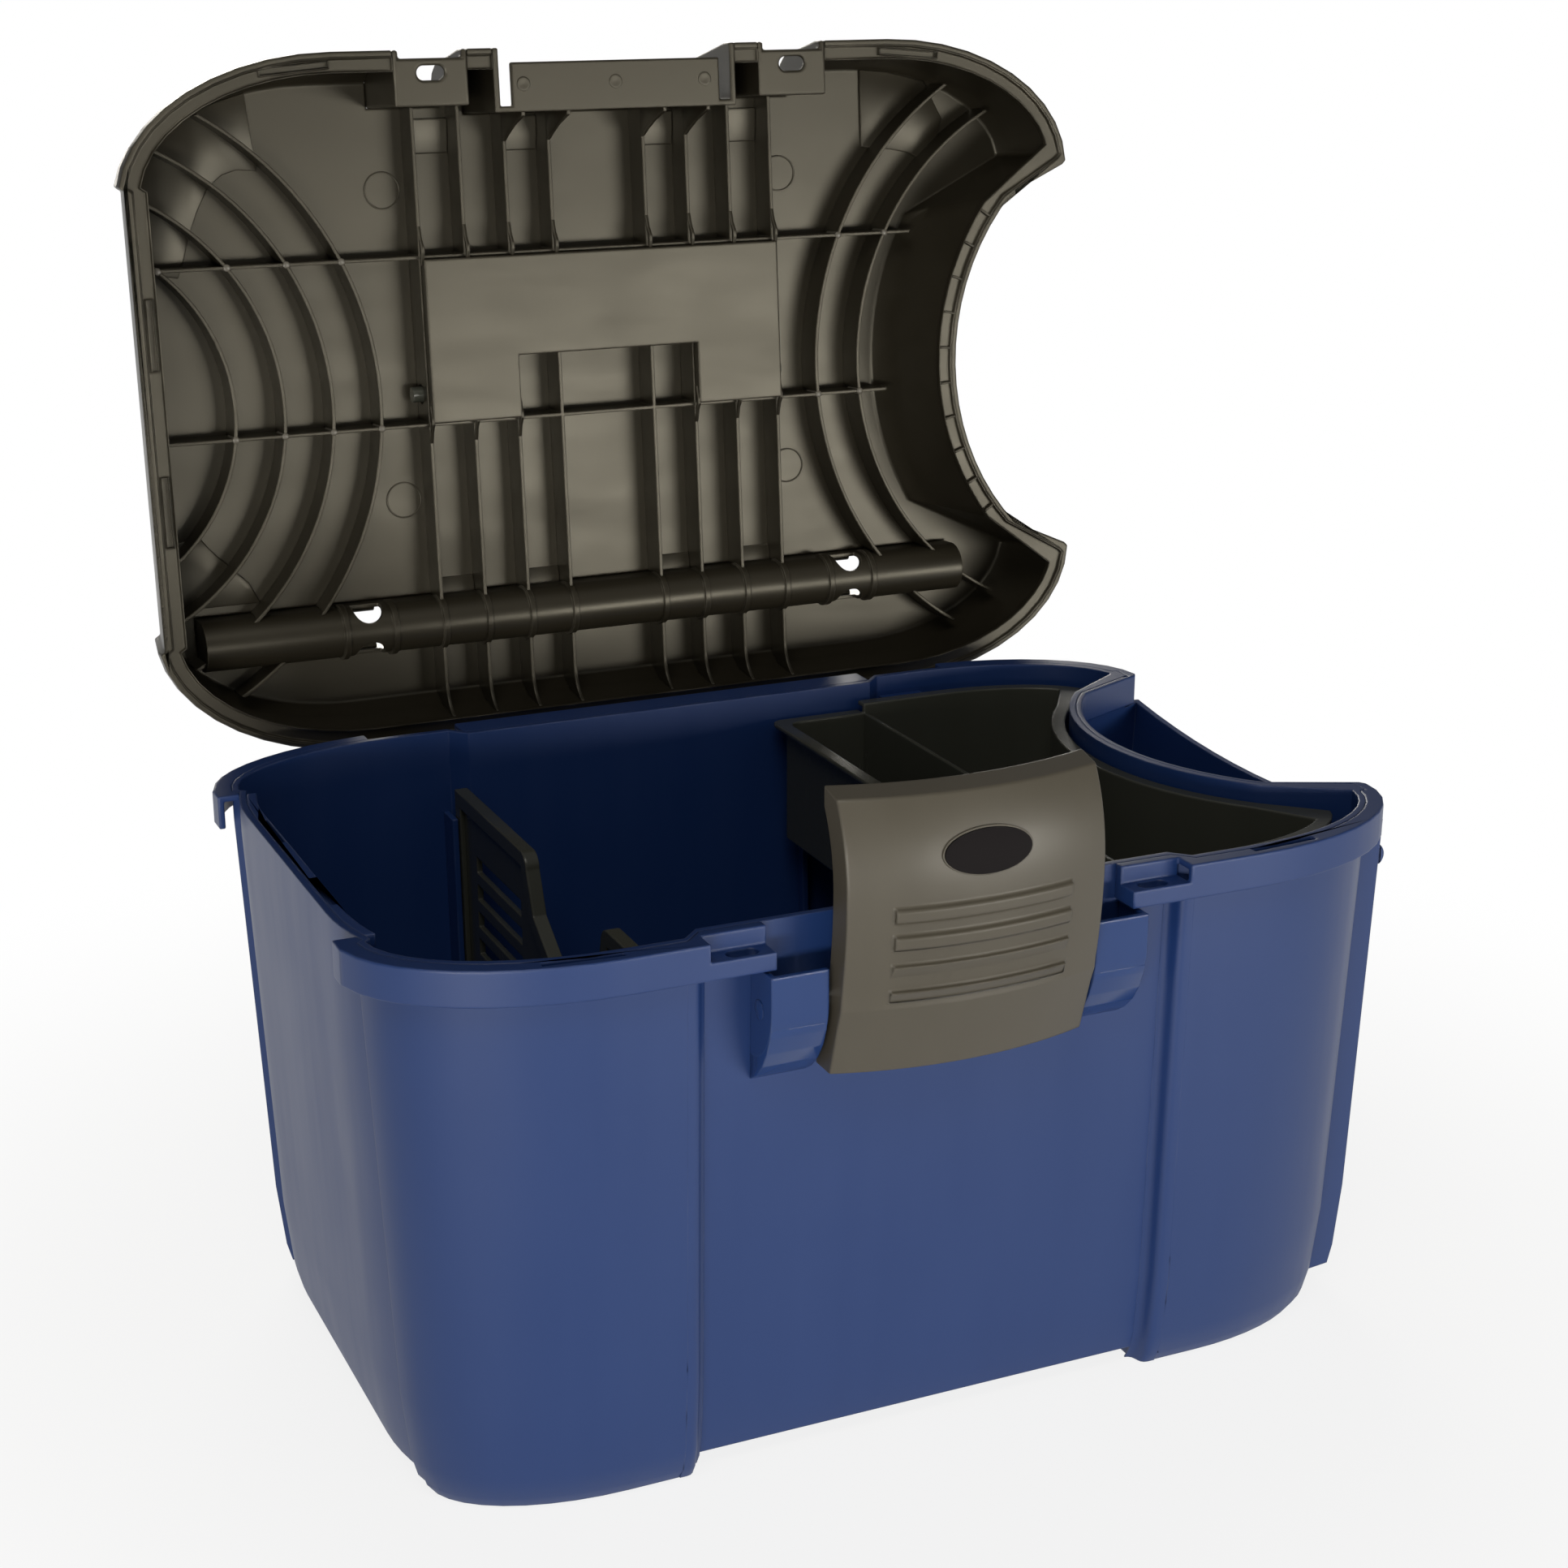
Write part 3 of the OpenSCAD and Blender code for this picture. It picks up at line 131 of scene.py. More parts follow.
def make_floor():
    nothing_selected()
    bpy.ops.mesh.primitive_plane_add(size=FLOOR_WIDE, location=(0.0, 0.0, -FLOOR_DROP))
    floor = bpy.context.object
    floor.name = "studio_floor"
    mat = bpy.data.materials.new("studio_white")
    mat.use_nodes = True
    tree = mat.node_tree
    bsdf = tree.nodes["Principled BSDF"]
    bsdf.inputs["Base Color"].default_value = FLOOR_GREY
    bsdf.inputs["Roughness"].default_value = 0.9
    bsdf.inputs["Specular IOR Level"].default_value = 0.1
    glow = tree.nodes.new("ShaderNodeEmission")
    glow.inputs["Color"].default_value = WHITE
    glow.inputs["Strength"].default_value = 1.0
    rays = tree.nodes.new("ShaderNodeLightPath")
    seen = tree.nodes.new("ShaderNodeMath")
    seen.operation = "MULTIPLY_ADD"
    seen.use_clamp = True
    tree.links.new(rays.outputs["Is Glossy Ray"], seen.inputs[0])
    seen.inputs[1].default_value = REFLECTED_SHARE
    tree.links.new(rays.outputs["Is Camera Ray"], seen.inputs[2])
    where = tree.nodes.new("ShaderNodeTexCoord")
    away = tree.nodes.new("ShaderNodeVectorMath")
    away.operation = "LENGTH"
    tree.links.new(where.outputs["Object"], away.inputs[0])
    fade = tree.nodes.new("ShaderNodeMapRange")
    fade.interpolation_type = "SMOOTHSTEP"
    fade.inputs["From Min"].default_value = SHADE_NEAR
    fade.inputs["From Max"].default_value = SHADE_FAR
    fade.inputs["To Min"].default_value = SHADE_WHITE
    fade.inputs["To Max"].default_value = 1.0
    tree.links.new(away.outputs["Value"], fade.inputs["Value"])
    most = tree.nodes.new("ShaderNodeMath")
    most.operation = "MULTIPLY"
    tree.links.new(seen.outputs[0], most.inputs[0])
    tree.links.new(fade.outputs["Result"], most.inputs[1])
    both = tree.nodes.new("ShaderNodeMixShader")
    tree.links.new(most.outputs[0], both.inputs["Fac"])
    tree.links.new(bsdf.outputs["BSDF"], both.inputs[1])
    tree.links.new(glow.outputs["Emission"], both.inputs[2])
    tree.links.new(both.outputs["Shader"], tree.nodes["Material Output"].inputs["Surface"])
    floor.data.materials.append(mat)
    return floor


make_floor()


# %% World and lamps
AIR_LIGHT = 0.14
LAMP_WARM = (1.0, 0.96, 0.88)
MIDDLE = (0.0, 0.0, 0.25)


def make_world():
    world = bpy.data.worlds.new("studio_air")
    bpy.context.scene.world = world
    world.use_nodes = True
    tree = world.node_tree
    tree.nodes.clear()
    out = tree.nodes.new("ShaderNodeOutputWorld")
    back = tree.nodes.new("ShaderNodeBackground")
    rays = tree.nodes.new("ShaderNodeLightPath")
    strength = tree.nodes.new("ShaderNodeMapRange")
    strength.inputs["To Min"].default_value = AIR_LIGHT
    strength.inputs["To Max"].default_value = 1.0
    tree.links.new(rays.outputs["Is Camera Ray"], strength.inputs["Value"])
    tree.links.new(strength.outputs["Result"], back.inputs["Strength"])
    back.inputs["Color"].default_value = WHITE
    tree.links.new(back.outputs["Background"], out.inputs["Surface"])


def make_lamp(name, place, target, size, watts):
    nothing_selected()
    bpy.ops.object.light_add(type="AREA", location=place)
    lamp = bpy.context.object
    lamp.name = name
    lamp.data.shape = "RECTANGLE"
    lamp.data.size = size[0]
    lamp.data.size_y = size[1]
    lamp.data.energy = watts
    lamp.data.color = LAMP_WARM
    lamp.rotation_euler = (Vector(target) - Vector(place)).to_track_quat("-Z", "Y").to_euler()
    return lamp


make_world()
bpy.context.scene.view_settings.view_transform = "Standard"
make_lamp("key_front_left", place=(-1.5, -2.2, 0.22), target=MIDDLE, size=(1.2, 0.32), watts=32.0)
make_lamp("fill_front_right", place=(1.22, -2.45, 0.24), target=MIDDLE, size=(1.4, 0.32), watts=30.0)
make_lamp("top_soft", place=(-0.7, -1.1, 2.1), target=(0.0, 0.0, 0.2), size=(1.2, 1.0), watts=12.0)
make_lamp("back_soft", place=(0.6, 2.5, 0.8), target=(0.0, 0.1, 0.3), size=(1.6, 1.0), watts=40.0)

# %% [markdown]
# ## Finishes
# Nearly everything here is injection-moulded plastic, so three effects are shared:
# a fine grain from the tool's surface, slow cloudy changes in gloss where the plastic flowed,
# and a painted highlight: a paler colour laid in patches along the edges.
# Each is one node group, placed in every material with its own values.

# %% Node group: moulded grain
def new_group(name, inputs, outputs):
    group = bpy.data.node_groups.new(name, "ShaderNodeTree")
    for label, kind, start in inputs:
        socket = group.interface.new_socket(name=label, in_out="INPUT", socket_type=kind)
        if start is not None:
            socket.default_value = start
    for label, kind in outputs:
        group.interface.new_socket(name=label, in_out="OUTPUT", socket_type=kind)
    return group, group.nodes.new("NodeGroupInput"), group.nodes.new("NodeGroupOutput")


def make_grain_group():
    group, given, result = new_group(
        "moulded_grain",
        [("Vector", "NodeSocketVector", None), ("Grain Scale", "NodeSocketFloat", 1400.0),
         ("Cloud Scale", "NodeSocketFloat", 14.0)],
        [("Grain", "NodeSocketFloat"), ("Cloud", "NodeSocketFloat")])
    fine = group.nodes.new("ShaderNodeTexNoise")
    fine.inputs["Detail"].default_value = 3.0
    fine.inputs["Roughness"].default_value = 0.6
    cloud = group.nodes.new("ShaderNodeTexNoise")
    cloud.inputs["Detail"].default_value = 4.0
    cloud.inputs["Distortion"].default_value = 0.6
    group.links.new(given.outputs["Vector"], fine.inputs["Vector"])
    group.links.new(given.outputs["Grain Scale"], fine.inputs["Scale"])
    group.links.new(given.outputs["Vector"], cloud.inputs["Vector"])
    group.links.new(given.outputs["Cloud Scale"], cloud.inputs["Scale"])
    group.links.new(fine.outputs["Fac"], result.inputs["Grain"])
    group.links.new(cloud.outputs["Fac"], result.inputs["Cloud"])
    return group


# %% Node group: flow streaks
def make_streak_group():
    group, given, result = new_group(
        "flow_streaks",
        [("Vector", "NodeSocketVector", None), ("Stretch", "NodeSocketVector", (1.0, 1.0, 0.08)),
         ("Scale", "NodeSocketFloat", 60.0)],
        [("Streak", "NodeSocketFloat")])
    longer = group.nodes.new("ShaderNodeVectorMath")
    longer.operation = "MULTIPLY"
    noise = group.nodes.new("ShaderNodeTexNoise")
    noise.inputs["Detail"].default_value = 5.0
    noise.inputs["Distortion"].default_value = 0.3
    group.links.new(given.outputs["Vector"], longer.inputs[0])
    group.links.new(given.outputs["Stretch"], longer.inputs[1])
    group.links.new(longer.outputs["Vector"], noise.inputs["Vector"])
    group.links.new(given.outputs["Scale"], noise.inputs["Scale"])
    group.links.new(noise.outputs["Fac"], result.inputs["Streak"])
    return group


# %% Node group: painted edge highlight
FLAT_COSINE, EDGE_COSINE = 0.985, 0.80
PATCH_LOW, PATCH_HIGH = 0.42, 0.68


# The pale edge colour this group masks is a painted highlight in patches; its soft normal is the bevel's
# real rounding.
def make_edge_highlight_group():
    group, given, result = new_group(
        "painted_edge_highlight",
        [("Vector", "NodeSocketVector", None), ("Radius", "NodeSocketFloat", 0.0012),
         ("Patch Scale", "NodeSocketFloat", 35.0)],
        [("Painted Highlight", "NodeSocketFloat"), ("Soft Normal", "NodeSocketVector")])
    bevel = group.nodes.new("ShaderNodeBevel")
    bevel.samples = 4
    geometry = group.nodes.new("ShaderNodeNewGeometry")
    same = group.nodes.new("ShaderNodeVectorMath")
    same.operation = "DOT_PRODUCT"
    off = group.nodes.new("ShaderNodeMapRange")
    off.inputs["From Min"].default_value = FLAT_COSINE
    off.inputs["From Max"].default_value = EDGE_COSINE
    patch = group.nodes.new("ShaderNodeTexNoise")
    patch.inputs["Detail"].default_value = 6.0
    band = group.nodes.new("ShaderNodeMapRange")
    band.inputs["From Min"].default_value = PATCH_LOW
    band.inputs["From Max"].default_value = PATCH_HIGH
    both = group.nodes.new("ShaderNodeMath")
    both.operation = "MULTIPLY"
    group.links.new(given.outputs["Radius"], bevel.inputs["Radius"])
    group.links.new(bevel.outputs["Normal"], same.inputs[0])
    group.links.new(geometry.outputs["Normal"], same.inputs[1])
    group.links.new(same.outputs["Value"], off.inputs["Value"])
    group.links.new(given.outputs["Vector"], patch.inputs["Vector"])
    group.links.new(given.outputs["Patch Scale"], patch.inputs["Scale"])
    group.links.new(patch.outputs["Fac"], band.inputs["Value"])
    group.links.new(off.outputs["Result"], both.inputs[0])
    group.links.new(band.outputs["Result"], both.inputs[1])
    group.links.new(both.outputs[0], result.inputs["Painted Highlight"])
    group.links.new(bevel.outputs["Normal"], result.inputs["Soft Normal"])
    return group


GRAIN = make_grain_group()
STREAK = make_streak_group()
EDGE_HIGHLIGHT = make_edge_highlight_group()
print("node groups:", GRAIN.name, STREAK.name, EDGE_HIGHLIGHT.name)

# %% [markdown]
# ## One recipe, several plastics
# A moulded plastic is a darker and a paler cloud of one hue, a roughness that wanders a little,
# the fine grain as bump, and a paler colour on the edges, which is a painted highlight.

# %% Plastic recipe
CLOUD_SCALE, FLOW_SCALE, PATCH_SCALE = 11.0, 55.0, 40.0
FLOW_SHARE, CLOUD_SHARE = 0.55, 0.45
MIX_LOW, MIX_HIGH = 0.3, 0.7
GRAIN_DEEP = 0.00015


def placed(tree, group, **values):
    node = tree.nodes.new("ShaderNodeGroup")
    node.node_tree = group
    for name, value in values.items():
        node.inputs[name.replace("_", " ").title()].default_value = value
    return node


def plastic(name, deep, pale, edge_highlight, gloss, grain=0.12, grain_scale=1400.0, edge=0.0012,
            streak=(1.0, 1.0, 0.08)):
    mat = bpy.data.materials.new(name)
    mat.use_nodes = True
    tree = mat.node_tree
    bsdf = tree.nodes["Principled BSDF"]
    where = tree.nodes.new("ShaderNodeTexCoord")
    skin = placed(tree, GRAIN, grain_scale=grain_scale, cloud_scale=CLOUD_SCALE)
    flow = placed(tree, STREAK, stretch=streak, scale=FLOW_SCALE)
    edge_lit = placed(tree, EDGE_HIGHLIGHT, radius=edge, patch_scale=PATCH_SCALE)
    for part in (skin, flow, edge_lit):
        tree.links.new(where.outputs["Object"], part.inputs["Vector"])
    mixed = tree.nodes.new("ShaderNodeMath")
    mixed.operation = "MULTIPLY_ADD"
    mixed.inputs[1].default_value = FLOW_SHARE
    tree.links.new(flow.outputs["Streak"], mixed.inputs[0])
    half = tree.nodes.new("ShaderNodeMath")
    half.operation = "MULTIPLY"
    half.inputs[1].default_value = CLOUD_SHARE
    tree.links.new(skin.outputs["Cloud"], half.inputs[0])
    tree.links.new(half.outputs[0], mixed.inputs[2])
    body = tree.nodes.new("ShaderNodeMix")
    body.data_type = "RGBA"
    body.inputs["A"].default_value = (*deep, 1.0)
    body.inputs["B"].default_value = (*pale, 1.0)
    tree.links.new(mixed.outputs[0], body.inputs["Factor"])
    # The edge colour mixed in here is a painted highlight along the edges.
    coat = tree.nodes.new("ShaderNodeMix")
    coat.data_type = "RGBA"
    coat.inputs["B"].default_value = (*edge_highlight, 1.0)
    tree.links.new(body.outputs["Result"], coat.inputs["A"])
    tree.links.new(edge_lit.outputs["Painted Highlight"], coat.inputs["Factor"])
    tree.links.new(coat.outputs["Result"], bsdf.inputs["Base Color"])
    rough = tree.nodes.new("ShaderNodeMapRange")
    rough.inputs["From Min"].default_value = MIX_LOW
    rough.inputs["From Max"].default_value = MIX_HIGH
    rough.inputs["To Min"].default_value = gloss[0]
    rough.inputs["To Max"].default_value = gloss[1]
    tree.links.new(mixed.outputs[0], rough.inputs["Value"])
    tree.links.new(rough.outputs["Result"], bsdf.inputs["Roughness"])
    bump = tree.nodes.new("ShaderNodeBump")
    bump.inputs["Strength"].default_value = grain
    bump.inputs["Distance"].default_value = GRAIN_DEEP
    tree.links.new(skin.outputs["Grain"], bump.inputs["Height"])
    tree.links.new(edge_lit.outputs["Soft Normal"], bump.inputs["Normal"])
    tree.links.new(bump.outputs["Normal"], bsdf.inputs["Normal"])
    return mat


# The third colour of each plastic is its painted edge highlight.
TUB_BLUE = plastic(
    "tub_blue", (0.008, 0.032, 0.138), (0.014, 0.042, 0.160), (0.09, 0.12, 0.24), (0.36, 0.46))
SOCKET_BLUE = plastic(
    "socket_polished_blue", (0.010, 0.036, 0.150), (0.016, 0.047, 0.172), (0.08, 0.12, 0.25), (0.10, 0.18),
    grain=0.02)
LID_GREY = plastic(
    "lid_warm_grey", (0.015, 0.0128, 0.0082), (0.023, 0.0196, 0.0135), (0.16, 0.145, 0.115), (0.32, 0.42),
    streak=(0.25, 1.0, 1.0))
LATCH_GREY = plastic(
    "latch_satin_grey", (0.067, 0.059, 0.044), (0.084, 0.075, 0.057), (0.17, 0.155, 0.125), (0.36, 0.44),
    grain=0.08)
TRAY_BLACK = plastic(
    "tray_black", (0.044, 0.046, 0.037), (0.056, 0.058, 0.048), (0.12, 0.12, 0.11), (0.18, 0.30),
    grain=0.06)
# The knots' paler grey is a painted highlight, a lit copy of the lid's plastic.
KNOT_HIGHLIGHT_GREY = plastic(
    "lid_grey_painted_highlight", (0.090, 0.082, 0.066), (0.120, 0.110, 0.090), (0.20, 0.185, 0.155), (0.26, 0.34),
    grain=0.04)
lid_shader = LID_GREY.node_tree.nodes["Principled BSDF"]
lid_shader.inputs["Specular IOR Level"].default_value = 0.58
lid_shader.inputs["Specular Tint"].default_value = (1.0, 0.95, 0.80, 1.0)
print("plastics made")


# %% [markdown]
# ## Metal pins and the bare badge
# The pins are drawn steel: fine lines along the rod.
# The badge on the latch is a smooth dark oval, left bare.

# %% Steel and badge materials
def steel(name):
    mat = bpy.data.materials.new(name)
    mat.use_nodes = True
    tree = mat.node_tree
    bsdf = tree.nodes["Principled BSDF"]
    bsdf.inputs["Metallic"].default_value = 1.0
    where = tree.nodes.new("ShaderNodeTexCoord")
    lines = placed(tree, STREAK, stretch=(0.03, 1.0, 1.0), scale=900.0)
    tree.links.new(where.outputs["Object"], lines.inputs["Vector"])
    tint = tree.nodes.new("ShaderNodeMix")
    tint.data_type = "RGBA"
    tint.inputs["A"].default_value = (0.42, 0.42, 0.43, 1.0)
    tint.inputs["B"].default_value = (0.66, 0.66, 0.66, 1.0)
    tree.links.new(lines.outputs["Streak"], tint.inputs["Factor"])
    tree.links.new(tint.outputs["Result"], bsdf.inputs["Base Color"])
    rough = tree.nodes.new("ShaderNodeMapRange")
    rough.inputs["To Min"].default_value = 0.22
    rough.inputs["To Max"].default_value = 0.42
    tree.links.new(lines.outputs["Streak"], rough.inputs["Value"])
    tree.links.new(rough.outputs["Result"], bsdf.inputs["Roughness"])
    return mat


PIN_STEEL = steel("pin_steel")
BADGE_DARK = plastic(
    "badge_dark", (0.008, 0.007, 0.008), (0.014, 0.012, 0.013), (0.05, 0.05, 0.05), (0.50, 0.60),
    grain=0.0, edge=0.0005)
BADGE_DARK.node_tree.nodes["Principled BSDF"].inputs["Specular IOR Level"].default_value = 0.05

# %% [markdown]
# ## Smooth skins for the moulded pieces
# The loaded solids are loose triangles, so their curved walls would show facets.
# A copy of each is welded and shaded smooth up to an angle, which keeps true edges crisp and walls round.
# The copy then stands for the solid, which stays behind it for collision.

# %% Welded copies
SKIN_ANGLE = math.radians(32.0)
SKIN_WELD = 0.00001


def smooth_copy(node, name, body, material):
    only(nodes[node])
    bpy.ops.object.duplicate()
    piece = bpy.context.object
    piece.name = name
    piece.parent = None
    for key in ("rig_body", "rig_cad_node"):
        if key in piece:
            del piece[key]
    bpy.ops.object.mode_set(mode="EDIT")
    bpy.ops.mesh.select_all(action="SELECT")
    bpy.ops.mesh.remove_doubles(threshold=SKIN_WELD)
    bpy.ops.mesh.customdata_custom_splitnormals_clear()
    bpy.ops.object.mode_set(mode="OBJECT")
    bpy.ops.object.shade_smooth_by_angle(angle=SKIN_ANGLE)
    piece.data.materials.clear()
    piece.data.materials.append(material)
    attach(piece, body)
    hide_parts(node)
    return piece


SKINS = [
    ("tub_shell", "tub_wall_skin", "tub", "tub_plastic", TUB_BLUE),
    ("rim_band", "rim_band_skin", "tub", "tub_plastic", TUB_BLUE),
    ("pocket_bead", "pocket_bead_skin", "tub", "tub_plastic", TUB_BLUE),
    ("latch_sockets", "latch_socket_skin", "tub", "tub_plastic", SOCKET_BLUE),
    ("hinge_brackets", "hinge_bracket_skin", "tub", "tub_plastic", TUB_BLUE),
    ("hinge_pins", "hinge_pin_skin", "tub", "steel", PIN_STEEL),
    ("tray_ledges", "tray_ledge_skin", "tub", "tub_plastic", TUB_BLUE),
    ("divider_rails", "divider_rail_skin", "tub", "tub_plastic", TUB_BLUE),
    ("lid_shell", "lid_shell_skin", "lid", "lid_plastic", LID_GREY),
    ("lid_rim", "lid_rim_skin", "lid", "lid_plastic", LID_GREY),
    ("lid_cross_ribs", "lid_cross_rib_skin", "lid", "lid_plastic", LID_GREY),
    ("lid_arc_ribs", "lid_arc_rib_skin", "lid", "lid_plastic", LID_GREY),
    ("handle_pan", "handle_pan_skin", "lid", "lid_plastic", LID_GREY),
    ("whip_groove", "whip_groove_skin", "lid", "lid_plastic", LID_GREY),
    ("whip_clips", "whip_clip_skin", "lid", "lid_plastic", LID_GREY),
    ("latch_bay", "latch_bay_skin", "lid", "lid_plastic", LID_GREY),
    ("padlock_boxes", "padlock_box_skin", "lid", "lid_plastic", LID_GREY),
    ("lid_knuckles", "lid_knuckle_skin", "lid", "lid_plastic", LID_GREY),
    ("carry_handle", "carry_handle_skin", "handle", "tray_plastic", TRAY_BLACK),
    ("handle_pins", "handle_pin_skin", "handle", "tray_plastic", TRAY_BLACK),
    ("latch_cover", "latch_cover_skin", "latch", "latch_plastic", LATCH_GREY),
    ("latch_badge", "latch_badge_skin", "latch", "badge", BADGE_DARK),
    ("latch_axle", "latch_axle_skin", "latch", "steel", PIN_STEEL),
    ("tray_body", "tray_body_skin", "tray", "tray_plastic", TRAY_BLACK),
    ("tray_partition", "tray_partition_skin", "tray", "tray_plastic", TRAY_BLACK),
    ("divider_panel", "divider_panel_skin", "divider", "tray_plastic", TRAY_BLACK),
    ("divider_frame", "divider_frame_skin", "divider", "tray_plastic", TRAY_BLACK),
]
skins = {}
for node, name, body, slot, material in SKINS:
    skins[node] = smooth_copy(node, name, body, material)
print("smooth skins:", len(skins))

# %% [markdown]
# ## Moulded edges
# No moulded edge is knife-sharp: the tool's own corners are rounded, and the rounding catches the light.
# The flat triangles are first merged into whole faces.
# Then every edge sharper than the limit gets a small bevel.
# The amount is chosen piece by piece: heavy frames are rounder than thin ribs.

# %% Rounded edges
EDGE_LIMIT = math.radians(38.0)
FLAT_LIMIT = math.radians(0.4)
ROUNDING = {
    "rim_band": 0.0007, "pocket_bead": 0.0008, "latch_sockets": 0.0005, "hinge_brackets": 0.0006,
    "divider_rails": 0.0004, "lid_shell": 0.0008, "lid_cross_ribs": 0.0003, "lid_arc_ribs": 0.0003,
    "handle_pan": 0.0007, "whip_clips": 0.0003, "latch_bay": 0.0008, "padlock_boxes": 0.0012,
    "lid_knuckles": 0.0005, "carry_handle": 0.0012, "latch_cover": 0.0007, "tray_body": 0.0006,
    "tray_partition": 0.0005, "divider_panel": 0.0004, "divider_frame": 0.0006,
}


def rounded(piece, width):
    only(piece)
    bpy.ops.object.mode_set(mode="EDIT")
    bpy.ops.mesh.select_all(action="SELECT")
    bpy.ops.mesh.dissolve_limited(angle_limit=FLAT_LIMIT)
    bpy.ops.object.mode_set(mode="OBJECT")
    soft = piece.modifiers.new("moulded_edge", "BEVEL")
    soft.width = width
    soft.segments = 2
    soft.limit_method = "ANGLE"
    soft.angle_limit = EDGE_LIMIT
    soft.use_clamp_overlap = False
    bpy.ops.object.modifier_apply(modifier=soft.name)
    bpy.ops.object.shade_smooth_by_angle(angle=SKIN_ANGLE)


for node, width in ROUNDING.items():
    rounded(skins[node], width)
print("pieces with rounded edges:", len(ROUNDING))

# %% [markdown]
# ## Crease on the latch
# The latch's lower end is a flat facet, and the line where the bow begins is crisp on the real one.
# Smoothing by angle has softened it, because the two faces differ by a few degrees only.
# So the edges along that line are picked by their height, marked sharp again and drawn out by a hair.

# %% Latch crease
CREASE_Z, CREASE_FRONT, CREASE_PROUD = 0.2220, -0.1700, 0.0006
CREASE_NEAR = 0.0001


def crease(piece):
    only(piece)
    ready_to_pick("EDGE")
    points = piece.data.vertices
    picked = 0
    for line in piece.data.edges:
        ends = [points[i].co for i in line.vertices]
        line.select = all(abs(p.z - CREASE_Z) < CREASE_NEAR and p.y < CREASE_FRONT for p in ends)
        picked += line.select
    bpy.ops.object.mode_set(mode="EDIT")
    bpy.ops.mesh.mark_sharp()
    bpy.ops.transform.translate(value=(0.0, -CREASE_PROUD, 0.0))
    bpy.ops.mesh.select_mode(type="VERT")
    bpy.ops.object.mode_set(mode="OBJECT")
    return picked


print("crease edges:", crease(skins["latch_cover"]))

# %% [markdown]
# ## Even shading on flat faces
# A bevel next to a large flat face bends the light across the whole face.
# Weighting the normals by area keeps the flats flat and leaves the turn to the bevel.

# %% Weighted normals
for node in ROUNDING:
    only(skins[node])
    even = skins[node].modifiers.new("even_flats", "WEIGHTED_NORMAL")
    even.keep_sharp = True
    bpy.ops.object.modifier_apply(modifier=even.name)
print("flats kept even:", len(ROUNDING))

# %% [markdown]
# ## Working on the lid while it is shut
# The lid is easiest to dress lying flat, as it is when the box is shut: its inside is then a level ceiling.
# So the lid's small pieces are made in that position and then turned up about the hinge, in one step each.
# The hinge's place and the angle come from the loaded joint, so nothing has to be fitted by eye.

# %% The lid's turn
lid_joint = next(j for j in frame["joints"] if j["name"] == "lid_hinge")
HINGE = Vector(lid_joint["pos_m"])
OPEN_ANGLE = math.radians(min(lid_joint["range_deg"]))
LID_OPENED = Matrix.Translation(HINGE) @ Matrix.Rotation(OPEN_ANGLE, 4, "X") @ Matrix.Translation(-HINGE)
LID_CEILING = 0.3094
RIB_EDGE = 0.2914
PAN_FACE = 0.2884
LID_RIM_FACE = 0.2574
RIB_WIDTH = 0.0018
BURIED = 0.0005
SAME_LEVEL = 0.0002
print("hinge at", tuple(round(v, 4) for v in HINGE), "opens by", round(math.degrees(OPEN_ANGLE), 1))

# %% [markdown]
# ## Finishing and copying
# Every new piece ends the same way: its place goes into its mesh, doubles are merged, faces point outwards,
# its edges are smoothed, and it gets a finish and a body to move with.
# What repeats is modelled once.
# A copy has its own mesh and may be shifted, turned or mirrored before it is finished.

# %% Finish and copy
PIECE_ANGLE, ROUND_ANGLE = 30.0, 40.0
PIECE_WELD = 0.000005


def dressed(piece, body, material, angle=PIECE_ANGLE):
    only(piece)
    bpy.ops.object.transform_apply(location=True, rotation=True, scale=True)
    bpy.ops.object.mode_set(mode="EDIT")
    bpy.ops.mesh.select_all(action="SELECT")
    bpy.ops.mesh.remove_doubles(threshold=PIECE_WELD)
    bpy.ops.mesh.normals_make_consistent(inside=False)
    bpy.ops.object.mode_set(mode="OBJECT")
    bpy.ops.object.shade_smooth_by_angle(angle=math.radians(angle))
    piece.data.materials.clear()
    piece.data.materials.append(material)
    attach(piece, body)
    return piece


def on_lid(piece, material=LID_GREY):
    bpy.context.view_layer.update()
    piece.matrix_world = LID_OPENED @ piece.matrix_world
    return dressed(piece, "lid", material)


def copied(piece, name, move):
    only(piece)
    bpy.ops.object.duplicate(linked=False)
    twin = bpy.context.object
    twin.name = name
    twin.matrix_world = move @ piece.matrix_world
    return twin


def placed_at(x, y, z=0.0):
    return Matrix.Translation(Vector((x, y, z)))


def all_on_lid(pattern, pieces):
    bpy.data.objects.remove(pattern)
    for piece in pieces:
        on_lid(piece)


ACROSS = Matrix.Diagonal((-1.0, 1.0, 1.0, 1.0))


# %% [markdown]
# ## A traced plate
# Many of the small pieces are flat outlines with a thickness: webs, wedges and low steps.
# By hand one would drop a single vertex, extrude it round the outline, fill the loop and push the face out.
# This helper does just that, then rounds the edges a little, so they catch the light as moulded edges do.

